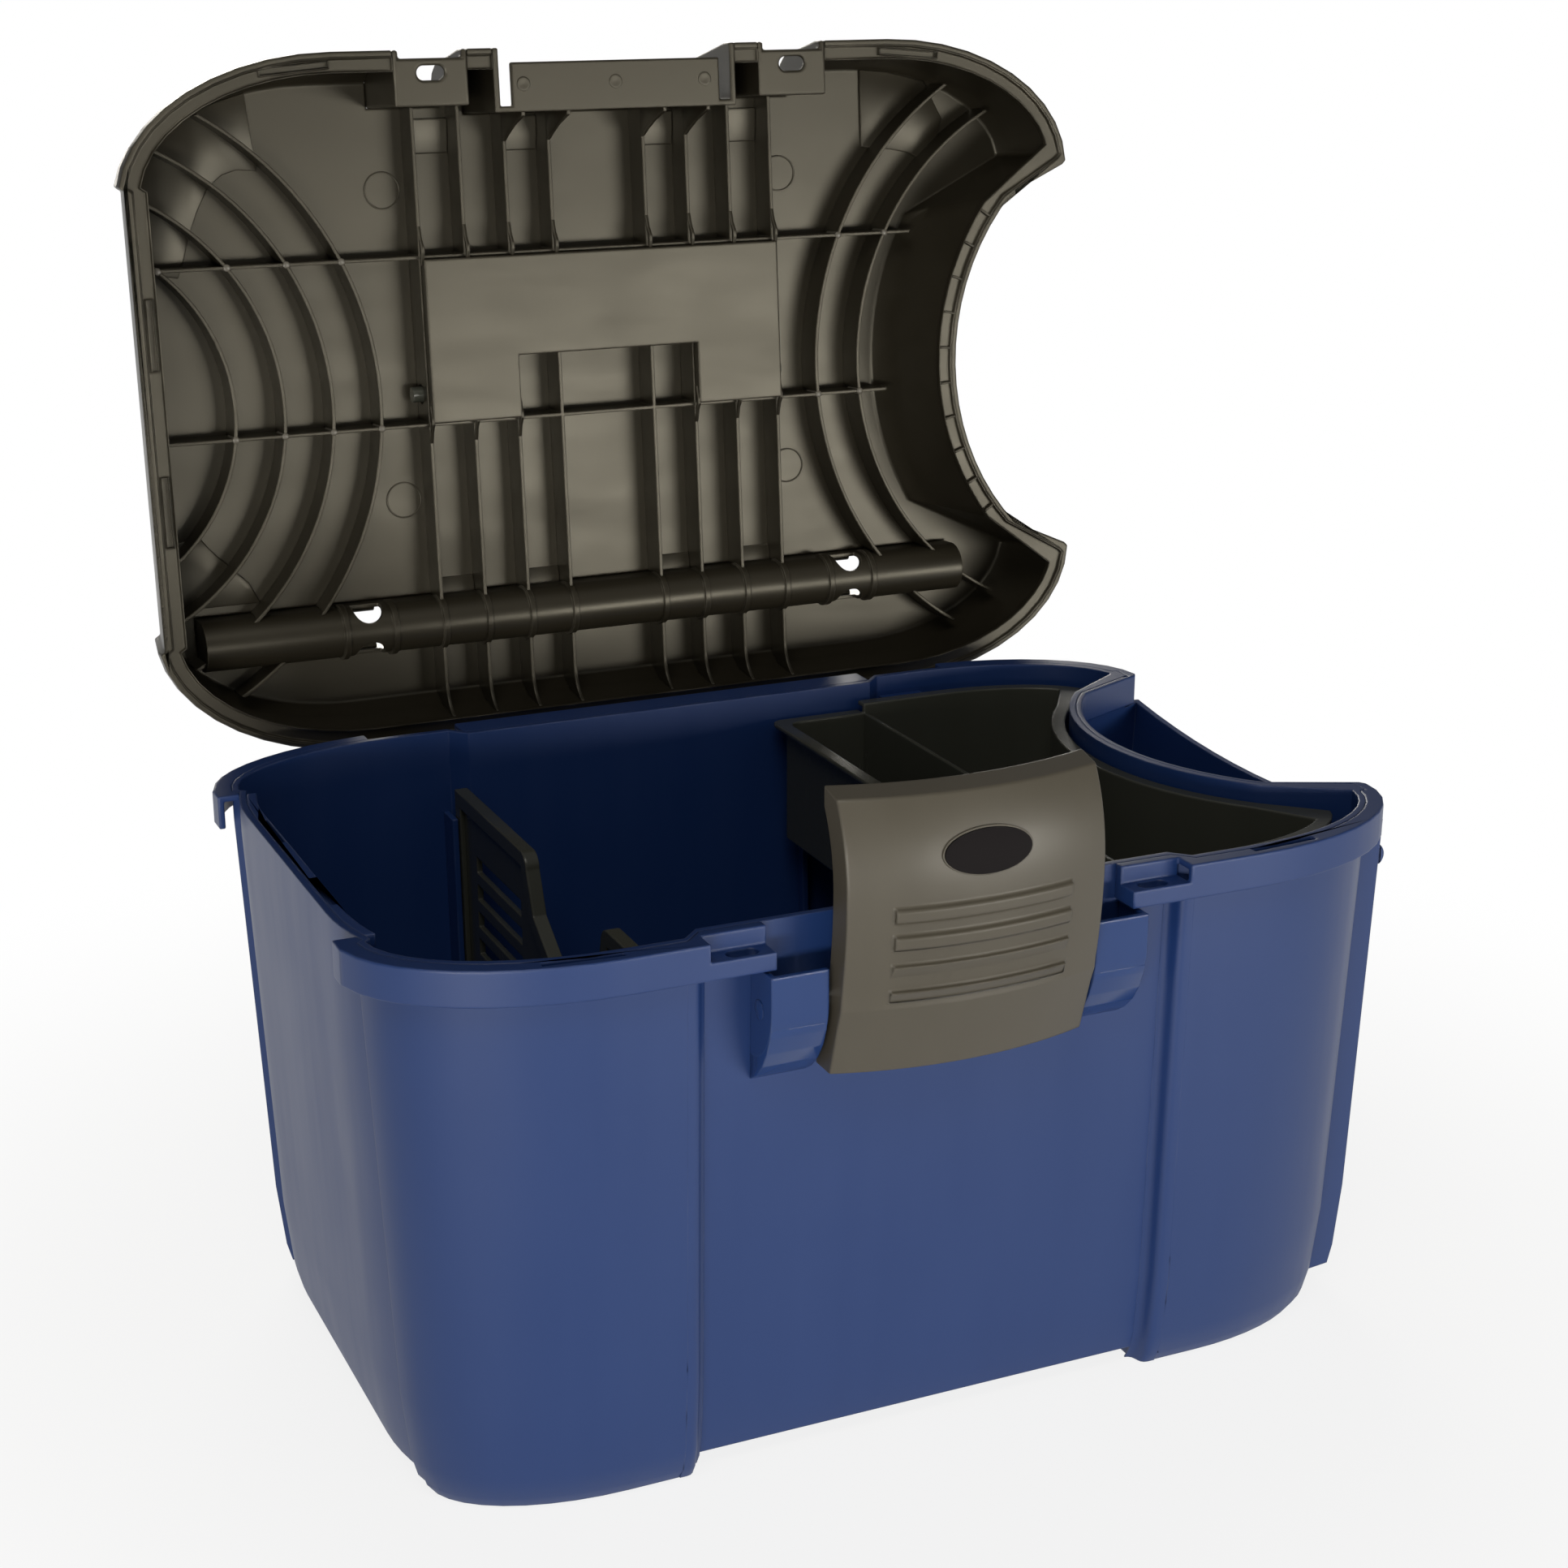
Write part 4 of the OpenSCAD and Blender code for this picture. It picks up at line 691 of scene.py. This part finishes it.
# %% Traced plate
def traced(name, outline, push, soften=0.0):
    nothing_selected()
    bpy.ops.mesh.primitive_plane_add(size=0.002, location=outline[0])
    piece = bpy.context.object
    piece.name = name
    bpy.ops.object.transform_apply(location=True)
    bpy.ops.object.mode_set(mode="EDIT")
    bpy.ops.mesh.select_all(action="SELECT")
    bpy.ops.mesh.merge(type="CENTER")
    for before, after in zip(outline, outline[1:]):
        step = Vector(after) - Vector(before)
        bpy.ops.mesh.extrude_vertices_move(TRANSFORM_OT_translate={"value": step})
    bpy.ops.mesh.select_all(action="SELECT")
    bpy.ops.mesh.edge_face_add()
    bpy.ops.mesh.select_all(action="SELECT")
    bpy.ops.mesh.extrude_region_move(TRANSFORM_OT_translate={"value": Vector(push)})
    bpy.ops.mesh.select_all(action="SELECT")
    bpy.ops.mesh.normals_make_consistent(inside=False)
    if soften:
        bpy.ops.mesh.bevel(offset=soften, segments=2, affect="EDGES", clamp_overlap=True)
    bpy.ops.object.mode_set(mode="OBJECT")
    return piece


# %% [markdown]
# ## Webs at the handle's recess
# Where a rib meets the underside of the handle's recess it rises in a small hooked web
# and runs out over its face.
# One web is traced from the side and copied to the other ribs. The rear ones are the same web, mirrored.

# %% Recess webs
RIB_STATIONS = [side * (0.026 + 0.024 * k) for side in (-1, 1) for k in range(4)]
PAN_FRONT, PAN_REAR = -0.0755, 0.0125
ISLAND_HALF, WEB_ROUND = 0.050, 0.0003
WEB_PROFILE = [(-0.0110, RIB_EDGE + 0.0010), (-0.0110, RIB_EDGE - 0.0002), (-0.0050, RIB_EDGE - 0.0022),
               (-0.0010, RIB_EDGE - 0.0052), (0.0020, RIB_EDGE - 0.0052), (0.0085, PAN_FACE - 0.0002),
               (0.0085, PAN_FACE + BURIED), (-0.0005, PAN_FACE + BURIED)]
REAR_MIRROR = Matrix.Diagonal((1.0, -1.0, 1.0, 1.0))
web = traced("recess_web", [(-RIB_WIDTH / 2, y, z) for y, z in WEB_PROFILE],
             (RIB_WIDTH, 0.0, 0.0), WEB_ROUND)
webs = [copied(web, "recess_web_front_%d" % k, placed_at(x, PAN_FRONT)) for k, x in enumerate(RIB_STATIONS)]
webs += [copied(web, "recess_web_rear_%d" % k, placed_at(x, PAN_REAR) @ REAR_MIRROR)
         for k, x in enumerate(RIB_STATIONS) if abs(x) > ISLAND_HALF - RIB_WIDTH]
all_on_lid(web, webs)
print("recess webs:", len(webs))

# %% [markdown]
# ## Witness rings and ejector marks
# Moulding leaves round marks: thin rings where inserts sit in the tool, and small discs from ejector pins.
# Each is a circle, extruded to a low step, with its edge rounded, and copied to the other places.

# %% Rings and discs
RING_SOFT = 0.28
DISC_RIM, DISC_DISH, DISC_CROWN = 0.18, 0.35, 0.4


def witness_ring(name, radius, width, tall):
    nothing_selected()
    bpy.ops.mesh.primitive_circle_add(vertices=56, radius=radius, fill_type="NOTHING")
    ring = bpy.context.object
    ring.name = name
    bpy.ops.object.mode_set(mode="EDIT")
    bpy.ops.mesh.select_all(action="SELECT")
    bpy.ops.mesh.extrude_region_move(TRANSFORM_OT_translate={"value": (0.0, 0.0, 0.0)})
    shrink = (radius - width) / radius
    bpy.ops.transform.resize(value=(shrink, shrink, 1.0))
    bpy.ops.mesh.select_all(action="SELECT")
    bpy.ops.mesh.extrude_region_move(TRANSFORM_OT_translate={"value": (0.0, 0.0, -tall - BURIED)})
    bpy.ops.mesh.bevel(offset=width * RING_SOFT, segments=2, affect="EDGES", clamp_overlap=True)
    bpy.ops.object.mode_set(mode="OBJECT")
    return ring


def ejector_disc(name, radius, tall, dimple):
    nothing_selected()
    bpy.ops.mesh.primitive_circle_add(vertices=40, radius=radius, fill_type="NGON")
    disc = bpy.context.object
    disc.name = name
    bpy.ops.object.mode_set(mode="EDIT")
    bpy.ops.mesh.select_all(action="SELECT")
    bpy.ops.mesh.extrude_region_move(TRANSFORM_OT_translate={"value": (0.0, 0.0, -tall - BURIED)})
    bpy.ops.mesh.inset(thickness=radius * DISC_RIM)
    bpy.ops.transform.translate(value=(0.0, 0.0, -tall * DISC_CROWN))
    bpy.ops.mesh.inset(thickness=radius * DISC_DISH)
    bpy.ops.transform.translate(value=(0.0, 0.0, dimple))
    bpy.ops.object.mode_set(mode="OBJECT")
    return disc


def spread(piece, name, places, face, material=LID_GREY):
    twins = [copied(piece, "%s_%d" % (name, k), placed_at(x, y, face + BURIED))
             for k, (x, y) in enumerate(places)]
    bpy.data.objects.remove(piece)
    return [on_lid(twin, material=material) for twin in twins]


# %% Marks in their places
RING_PLACES = [(-0.1108, -0.1044), (-0.1098, 0.0540), (0.1104, -0.1044), (0.1104, 0.0539)]
MARK_PLACES = [(-0.0897, -0.0597), (-0.0902, 0.0052), (-0.0556, 0.0049), (0.0561, 0.0050),
               (0.0905, 0.0050), (0.0905, -0.0592)]
BOSS_PLACES = [(-0.0764, -0.0090), (0.0758, -0.0090)]
TONGUE_PLACES = [(-0.0497, -0.1545), (-0.0008, -0.1545), (0.0477, -0.1545)]
ring = witness_ring("witness_ring", radius=0.0096, width=0.0009, tall=0.0006)
flat = ejector_disc("recess_mark", radius=0.0045, tall=0.0003, dimple=0.0001)
boss = ejector_disc("recess_boss", radius=0.0034, tall=0.0012, dimple=0.0011)
faint = ejector_disc("tongue_mark", radius=0.0036, tall=0.00015, dimple=0.0001)
marks = spread(ring, "witness_ring", RING_PLACES, LID_CEILING)
marks += spread(flat, "recess_mark", MARK_PLACES, PAN_FACE)
marks += spread(boss, "recess_boss", BOSS_PLACES, PAN_FACE)
marks += spread(faint, "tongue_mark", TONGUE_PLACES, LID_RIM_FACE)
print("moulding marks:", len(marks))

# %% [markdown]
# ## Knots where the ribs cross
# The arc ribs and the cross ribs meet in small round knots, thicker than either rib.
# One knot is turned from a circle and copied to every crossing.

# %% Rib knots
RIB_FRONT, RIB_REAR = -0.0709, 0.0139
LEFT_ARCS, RIGHT_ARCS = (-0.2915, (0.093, 0.118, 0.143, 0.168)), (0.2970, (0.150, 0.175))
CROSSINGS = []
for y in (RIB_FRONT, RIB_REAR):
    for way, (middle, radii) in ((1, LEFT_ARCS), (-1, RIGHT_ARCS)):
        CROSSINGS += [(middle + way * math.sqrt(r * r - y * y), y) for r in radii]
KNOT_DEEP, KNOT_RADIUS = 0.0120, 0.0018
KNOT_PROUD, KNOT_RIM = 0.0003, 0.0006


def rib_knot(name):
    nothing_selected()
    bpy.ops.mesh.primitive_circle_add(vertices=20, radius=KNOT_RADIUS, fill_type="NGON",
                                      location=(0.0, 0.0, KNOT_DEEP))
    knot = bpy.context.object
    knot.name = name
    bpy.ops.object.transform_apply(location=True)
    bpy.ops.object.mode_set(mode="EDIT")
    bpy.ops.mesh.select_all(action="SELECT")
    tall = KNOT_DEEP + BURIED + KNOT_PROUD
    bpy.ops.mesh.extrude_region_move(TRANSFORM_OT_translate={"value": (0.0, 0.0, -tall)})
    bpy.ops.mesh.inset(thickness=KNOT_RIM)
    bpy.ops.transform.translate(value=(0.0, 0.0, -KNOT_PROUD))
    bpy.ops.object.mode_set(mode="OBJECT")
    return knot


# The knots take the paler grey, a painted highlight on their round tops.
knots = spread(rib_knot("rib_knot"), "rib_knot", CROSSINGS, RIB_EDGE, KNOT_HIGHLIGHT_GREY)
print("rib knots:", len(knots))

# %% [markdown]
# ## Low steps on the lid's inside
# The lid's inside shows the back of its outside: curved steps between the arc ribs at the corners,
# and short ramps at both ends of four bays between the straight ribs.
# Each step is a traced plate with a rounded edge, each ramp a traced wedge as long as its bay is wide.

# %% Corner steps
STEP_TALL, STEP_ROUND = 0.0018, 0.0006
LEFT_STEP = [(-0.2180, -0.0660), (-0.2144, -0.0752), (-0.2107, -0.0869), (-0.2057, -0.0985),
             (-0.1998, -0.1090), (-0.1922, -0.1152), (-0.1849, -0.1173), (-0.1745, -0.1165),
             (-0.1780, -0.1543), (-0.1928, -0.1503), (-0.2060, -0.1450), (-0.2174, -0.1384),
             (-0.2334, -0.1223), (-0.2390, -0.1040), (-0.2390, -0.0700)]
REAR_STEP = [(-0.2180, 0.0640), (-0.2144, 0.0690), (-0.2095, 0.0745), (-0.2030, 0.0810), (-0.1950, 0.0890),
             (-0.1900, 0.1000), (-0.2380, 0.1000), (-0.2390, 0.0660)]
RIGHT_STEP = [(0.1600, -0.1166), (0.1776, -0.1146), (0.1875, -0.1127), (0.1955, -0.1092), (0.2010, -0.1050),
              (0.2100, -0.1300), (0.1988, -0.1503), (0.1764, -0.1557), (0.1600, -0.1573)]


def corner_step(name, outline):
    level = [(x, y, LID_CEILING + BURIED) for x, y in outline]
    return on_lid(traced(name, level, (0.0, 0.0, -STEP_TALL - BURIED), STEP_ROUND))


steps = [corner_step("step_left_front", LEFT_STEP), corner_step("step_left_rear", REAR_STEP),
         corner_step("step_right_front", RIGHT_STEP)]
print("corner steps:", len(steps))

# %% Bay ramps
BAY_WIDE = 0.0218
BAYS = [-0.086, -0.038, 0.038, 0.086]
RAMP_FRONT, RAMP_REAR, REAR_SHARE = -0.1216, 0.0964, 0.55
RAMP_PROFILE = [(0.0, BURIED), (-0.0006, -0.0008), (-0.0084, -0.0022), (-0.0174, -0.0026),
                (-0.0174, BURIED)]
ramp = traced("bay_ramp", [(-BAY_WIDE / 2, y, z) for y, z in RAMP_PROFILE], (BAY_WIDE, 0.0, 0.0))
SHORT_MIRROR = Matrix.Diagonal((1.0, -REAR_SHARE, 1.0, 1.0))
ramps = [copied(ramp, "bay_ramp_front_%d" % k, placed_at(x, RAMP_FRONT, LID_CEILING))
         for k, x in enumerate(BAYS)]
ramps += [copied(ramp, "bay_ramp_rear_%d" % k, placed_at(x, RAMP_REAR, LID_CEILING) @ SHORT_MIRROR)
          for k, x in enumerate(BAYS)]
all_on_lid(ramp, ramps)
print("bay ramps:", len(ramps))

# %% [markdown]
# ## Channel in the lid's rim
# The rim is not a flat flange: a shallow channel runs along it between an outer lip and a thin inner ridge.
# The faces of the flange that look at the tub are picked by their direction and depth, inset and pushed in.
# The channel is cut into the skin only, so the lid still seats on the tub as the solids do.

# %% Rim channel
LIP_WIDE, CHANNEL_DEEP = 0.0009, 0.0026
LID_DOWN = LID_OPENED.to_3x3() @ Vector((0.0, 0.0, -1.0))
SHUT_AGAIN = LID_OPENED.inverted()


def cut_channel(rim):
    only(rim)
    ready_to_pick("FACE")
    for face in rim.data.polygons:
        level = (SHUT_AGAIN @ face.center).z
        face.select = face.normal.dot(LID_DOWN) > 0.99 and abs(level - LID_RIM_FACE) < SAME_LEVEL
    bpy.ops.object.mode_set(mode="EDIT")
    bpy.ops.mesh.inset(thickness=LIP_WIDE, depth=-CHANNEL_DEEP, use_even_offset=False)
    bpy.ops.mesh.select_mode(type="VERT")
    bpy.ops.object.mode_set(mode="OBJECT")
    bpy.ops.object.shade_smooth_by_angle(angle=SKIN_ANGLE)


cut_channel(skins["lid_rim"])
print("rim faces with channel:", len(skins["lid_rim"].data.polygons))

# %% [markdown]
# ## Bars across the channel
# Along the hollow end short bars cross the channel and stiffen its lips.
# One bar is traced beside the arc's centre line, and its copies are turned about the arc's centre.

# %% Channel bars
END_CENTRE = Vector((0.320, 0.0, 0.0))
BAR_HALF, BAR_ROUND = 0.0006, 0.0002
BAR_OUTER, BAR_INNER, BAR_SUNK = -0.1396, -0.1334, 0.0001
BAR_COUNT, BAR_FIRST, BAR_STEP = 10, -36.0, 8.0
BAR_PROFILE = [(BAR_OUTER, BAR_SUNK), (BAR_INNER, BAR_SUNK),
               (BAR_INNER, CHANNEL_DEEP + BURIED), (BAR_OUTER, CHANNEL_DEEP + BURIED)]
bar = traced("hollow_end_bar", [(x, -BAR_HALF, z) for x, z in BAR_PROFILE],
             (0.0, 2 * BAR_HALF, 0.0), BAR_ROUND)
TO_END = placed_at(END_CENTRE.x, END_CENTRE.y, LID_RIM_FACE)
bar_turns = [Matrix.Rotation(math.radians(BAR_STEP * k + BAR_FIRST), 4, "Z") for k in range(BAR_COUNT)]
bars = [copied(bar, "hollow_end_bar_%d" % k, TO_END @ turn) for k, turn in enumerate(bar_turns)]
all_on_lid(bar, bars)
print("channel bars:", len(bars))

# %% [markdown]
# ## Hooks under the tongue
# Where the ribs meet the latch's bay they climb its wall in curved hooks, up to the back of the tongue.
# One hook is traced from the side and copied to the four ribs that end there.

# %% Tongue hooks
HOOK_STATIONS = (-0.050, -0.026, 0.026, 0.050)
HOOK_ROOT, HOOK_ROUND = RIB_EDGE + 0.0010, 0.0002
HOOK_PROFILE = [(-0.1425, 0.2592), (-0.1425, HOOK_ROOT), (-0.1262, HOOK_ROOT), (-0.1300, 0.2850),
                (-0.1345, 0.2745), (-0.1378, 0.2640), (-0.1392, 0.2592)]
hook = traced("tongue_hook", [(-RIB_WIDTH / 2, y, z) for y, z in HOOK_PROFILE],
              (RIB_WIDTH, 0.0, 0.0), HOOK_ROUND)
hooks = [copied(hook, "tongue_hook_%d" % k, placed_at(x, 0.0)) for k, x in enumerate(HOOK_STATIONS)]
all_on_lid(hook, hooks)
print("tongue hooks:", len(hooks))

# %% [markdown]
# ## Rounded pod edges
# The corner pods end in a steep rounded edge beside the recessed panels, front and back.
# The edge's section is traced at the foot and extruded upwards level by level, leaning with the wall.
# It is modelled once, at the front right, and mirrored to the other three edges.

# %% Pod edges
WALL_LEVELS = [0.0004, 0.006, 0.0175, 0.050, 0.2412]
POD_SECTION = [(0.1206, 0.0000), (0.1172, 0.0000), (0.1154, 0.0004), (0.1141, 0.0014), (0.1134, 0.0030),
               (0.1129, 0.0048), (0.1122, 0.0064), (0.1110, 0.0075), (0.1094, 0.0080), (0.1094, 0.0088),
               (0.1120, 0.0092), (0.1206, 0.0012)]
TUCK_DEEP, TUCK_TALL = 0.009, 0.050
DEPTH_LOW, DEPTH_HIGH, WALL_TALL = 0.152, 0.159, 0.241


def wall_depth(z):
    share = max(0.0, 1.0 - z / TUCK_TALL)
    tuck = TUCK_DEEP * (1.0 - math.sqrt(1.0 - share ** 2))
    return DEPTH_LOW + (DEPTH_HIGH - DEPTH_LOW) * min(1.0, z / WALL_TALL) - tuck


def pod_edge(name):
    lifts = [Vector((0.0, wall_depth(low) - wall_depth(high), high - low))
             for low, high in zip(WALL_LEVELS, WALL_LEVELS[1:])]
    foot = [(x, inward - wall_depth(WALL_LEVELS[0]), WALL_LEVELS[0]) for x, inward in POD_SECTION]
    edge = traced(name, foot, lifts[0])
    for level, lift in zip(WALL_LEVELS[1:], lifts[1:]):
        ready_to_pick("FACE")
        for face in edge.data.polygons:
            face.select = face.normal.z > 0.9 and abs(face.center.z - level) < SAME_LEVEL
        bpy.ops.object.mode_set(mode="EDIT")
        bpy.ops.mesh.extrude_region_move(TRANSFORM_OT_translate={"value": lift})
        bpy.ops.mesh.select_mode(type="VERT")
        bpy.ops.object.mode_set(mode="OBJECT")
    return edge


# %% Pod edges in their places
edge = pod_edge("pod_edge_right_front")
pod_edges = [edge]
for name, across, along in (("left_front", -1, 1), ("left_back", -1, -1), ("right_back", 1, -1)):
    pod_edges.append(copied(edge, "pod_edge_" + name, Matrix.Diagonal((across, along, 1.0, 1.0))))
for piece in pod_edges:
    dressed(piece, "tub", TUB_BLUE, ROUND_ANGLE)
print("pod edges:", len(pod_edges))

# %% [markdown]
# ## Badge surround
# The bare badge sits in a thin raised surround of the latch's own plastic.
# An oval ring is drawn flat in front of the latch, laid onto the bowed cover with a shrinkwrap,
# given its thickness and rounded.

# %% Badge surround
BADGE_HEIGHT = 0.288
BADGE_OUT, BADGE_IN = (0.0208, 0.0100), (0.0199, 0.0091)
DRAWN_AT, SURROUND_THICK, SURROUND_ROUND = -0.230, 0.0015, 0.0002


def badge_surround(name):
    nothing_selected()
    front = (0.0, DRAWN_AT, BADGE_HEIGHT)
    bpy.ops.mesh.primitive_circle_add(vertices=72, radius=1.0, fill_type="NOTHING", location=front,
                                      rotation=(math.pi / 2, 0.0, 0.0))
    ring = bpy.context.object
    ring.name = name
    ring.scale = (BADGE_OUT[0], BADGE_OUT[1], 1.0)
    bpy.ops.object.transform_apply(location=True, rotation=True, scale=True)
    bpy.ops.object.mode_set(mode="EDIT")
    bpy.ops.mesh.select_all(action="SELECT")
    bpy.ops.mesh.extrude_region_move(TRANSFORM_OT_translate={"value": (0.0, 0.0, 0.0)})
    bpy.ops.transform.resize(value=(BADGE_IN[0] / BADGE_OUT[0], 1.0, BADGE_IN[1] / BADGE_OUT[1]),
                             center_override=front)
    bpy.ops.object.mode_set(mode="OBJECT")
    wrap = ring.modifiers.new("onto_cover", "SHRINKWRAP")
    wrap.target = skins["latch_cover"]
    wrap.wrap_method = "PROJECT"
    wrap.use_project_y = True
    bpy.ops.object.modifier_apply(modifier=wrap.name)
    shell = ring.modifiers.new("thickness", "SOLIDIFY")
    shell.thickness = SURROUND_THICK
    shell.offset = 0.0
    bpy.ops.object.modifier_apply(modifier=shell.name)
    soft = ring.modifiers.new("rounding", "BEVEL")
    soft.width = SURROUND_ROUND
    soft.segments = 2
    bpy.ops.object.modifier_apply(modifier=soft.name)
    return ring


surround = dressed(badge_surround("badge_surround"), "latch", LATCH_GREY, ROUND_ANGLE)
print("badge surround faces:", len(surround.data.polygons))

# %% [markdown]
# ## Tails of the latch sockets
# Below the axle each socket runs out in a tail that meets the panel at a low angle.
# The tail's side is traced and pushed across the socket's width, and the other tail is its mirror.

# %% Socket tails
TAIL_PROFILE = [(-0.1711, 0.2165), (-0.1702, 0.2125), (-0.1670, 0.2045), (-0.1622, 0.1970),
                (-0.1562, 0.1910), (-0.1494, 0.1866), (-0.1485, 0.1872), (-0.1485, 0.2000),
                (-0.1580, 0.2165)]
TAIL_FROM, TAIL_WIDE, TAIL_ROUND = 0.0632, 0.0257, 0.0004
tail = traced("socket_tail_right", [(TAIL_FROM, y, z) for y, z in TAIL_PROFILE],
              (TAIL_WIDE, 0.0, 0.0), TAIL_ROUND)
tails = [tail, copied(tail, "socket_tail_left", ACROSS)]
for piece in tails:
    dressed(piece, "tub", SOCKET_BLUE)
print("socket tails:", len(tails))

# %% [markdown]
# ## Blind ends of the latch sockets
# The axle's bores are closed on the outside by flush round plugs of the same blue.
# One plug is a short disc with a rounded rim, and the other is its mirror.

# %% Socket plugs
PLUG_PLACE, PLUG_RADIUS = (0.0890, -0.160, 0.222), 0.0044
PLUG_TALL, PLUG_RIM, PLUG_CROWN = 0.0003, 0.0005, 0.0001


def socket_plug(name):
    nothing_selected()
    bpy.ops.mesh.primitive_circle_add(vertices=36, radius=PLUG_RADIUS, fill_type="NGON",
                                      location=PLUG_PLACE, rotation=(0.0, math.pi / 2, 0.0))
    plug = bpy.context.object
    plug.name = name
    bpy.ops.object.transform_apply(location=True, rotation=True)
    bpy.ops.object.mode_set(mode="EDIT")
    bpy.ops.mesh.select_all(action="SELECT")
    bpy.ops.mesh.extrude_region_move(TRANSFORM_OT_translate={"value": (PLUG_TALL, 0.0, 0.0)})
    bpy.ops.mesh.inset(thickness=PLUG_RIM)
    bpy.ops.transform.translate(value=(PLUG_CROWN, 0.0, 0.0))
    bpy.ops.object.mode_set(mode="OBJECT")
    return plug


plug = socket_plug("socket_plug_right")
plugs = [plug, copied(plug, "socket_plug_left", ACROSS)]
for piece in plugs:
    dressed(piece, "tub", SOCKET_BLUE)
print("socket plugs:", len(plugs))
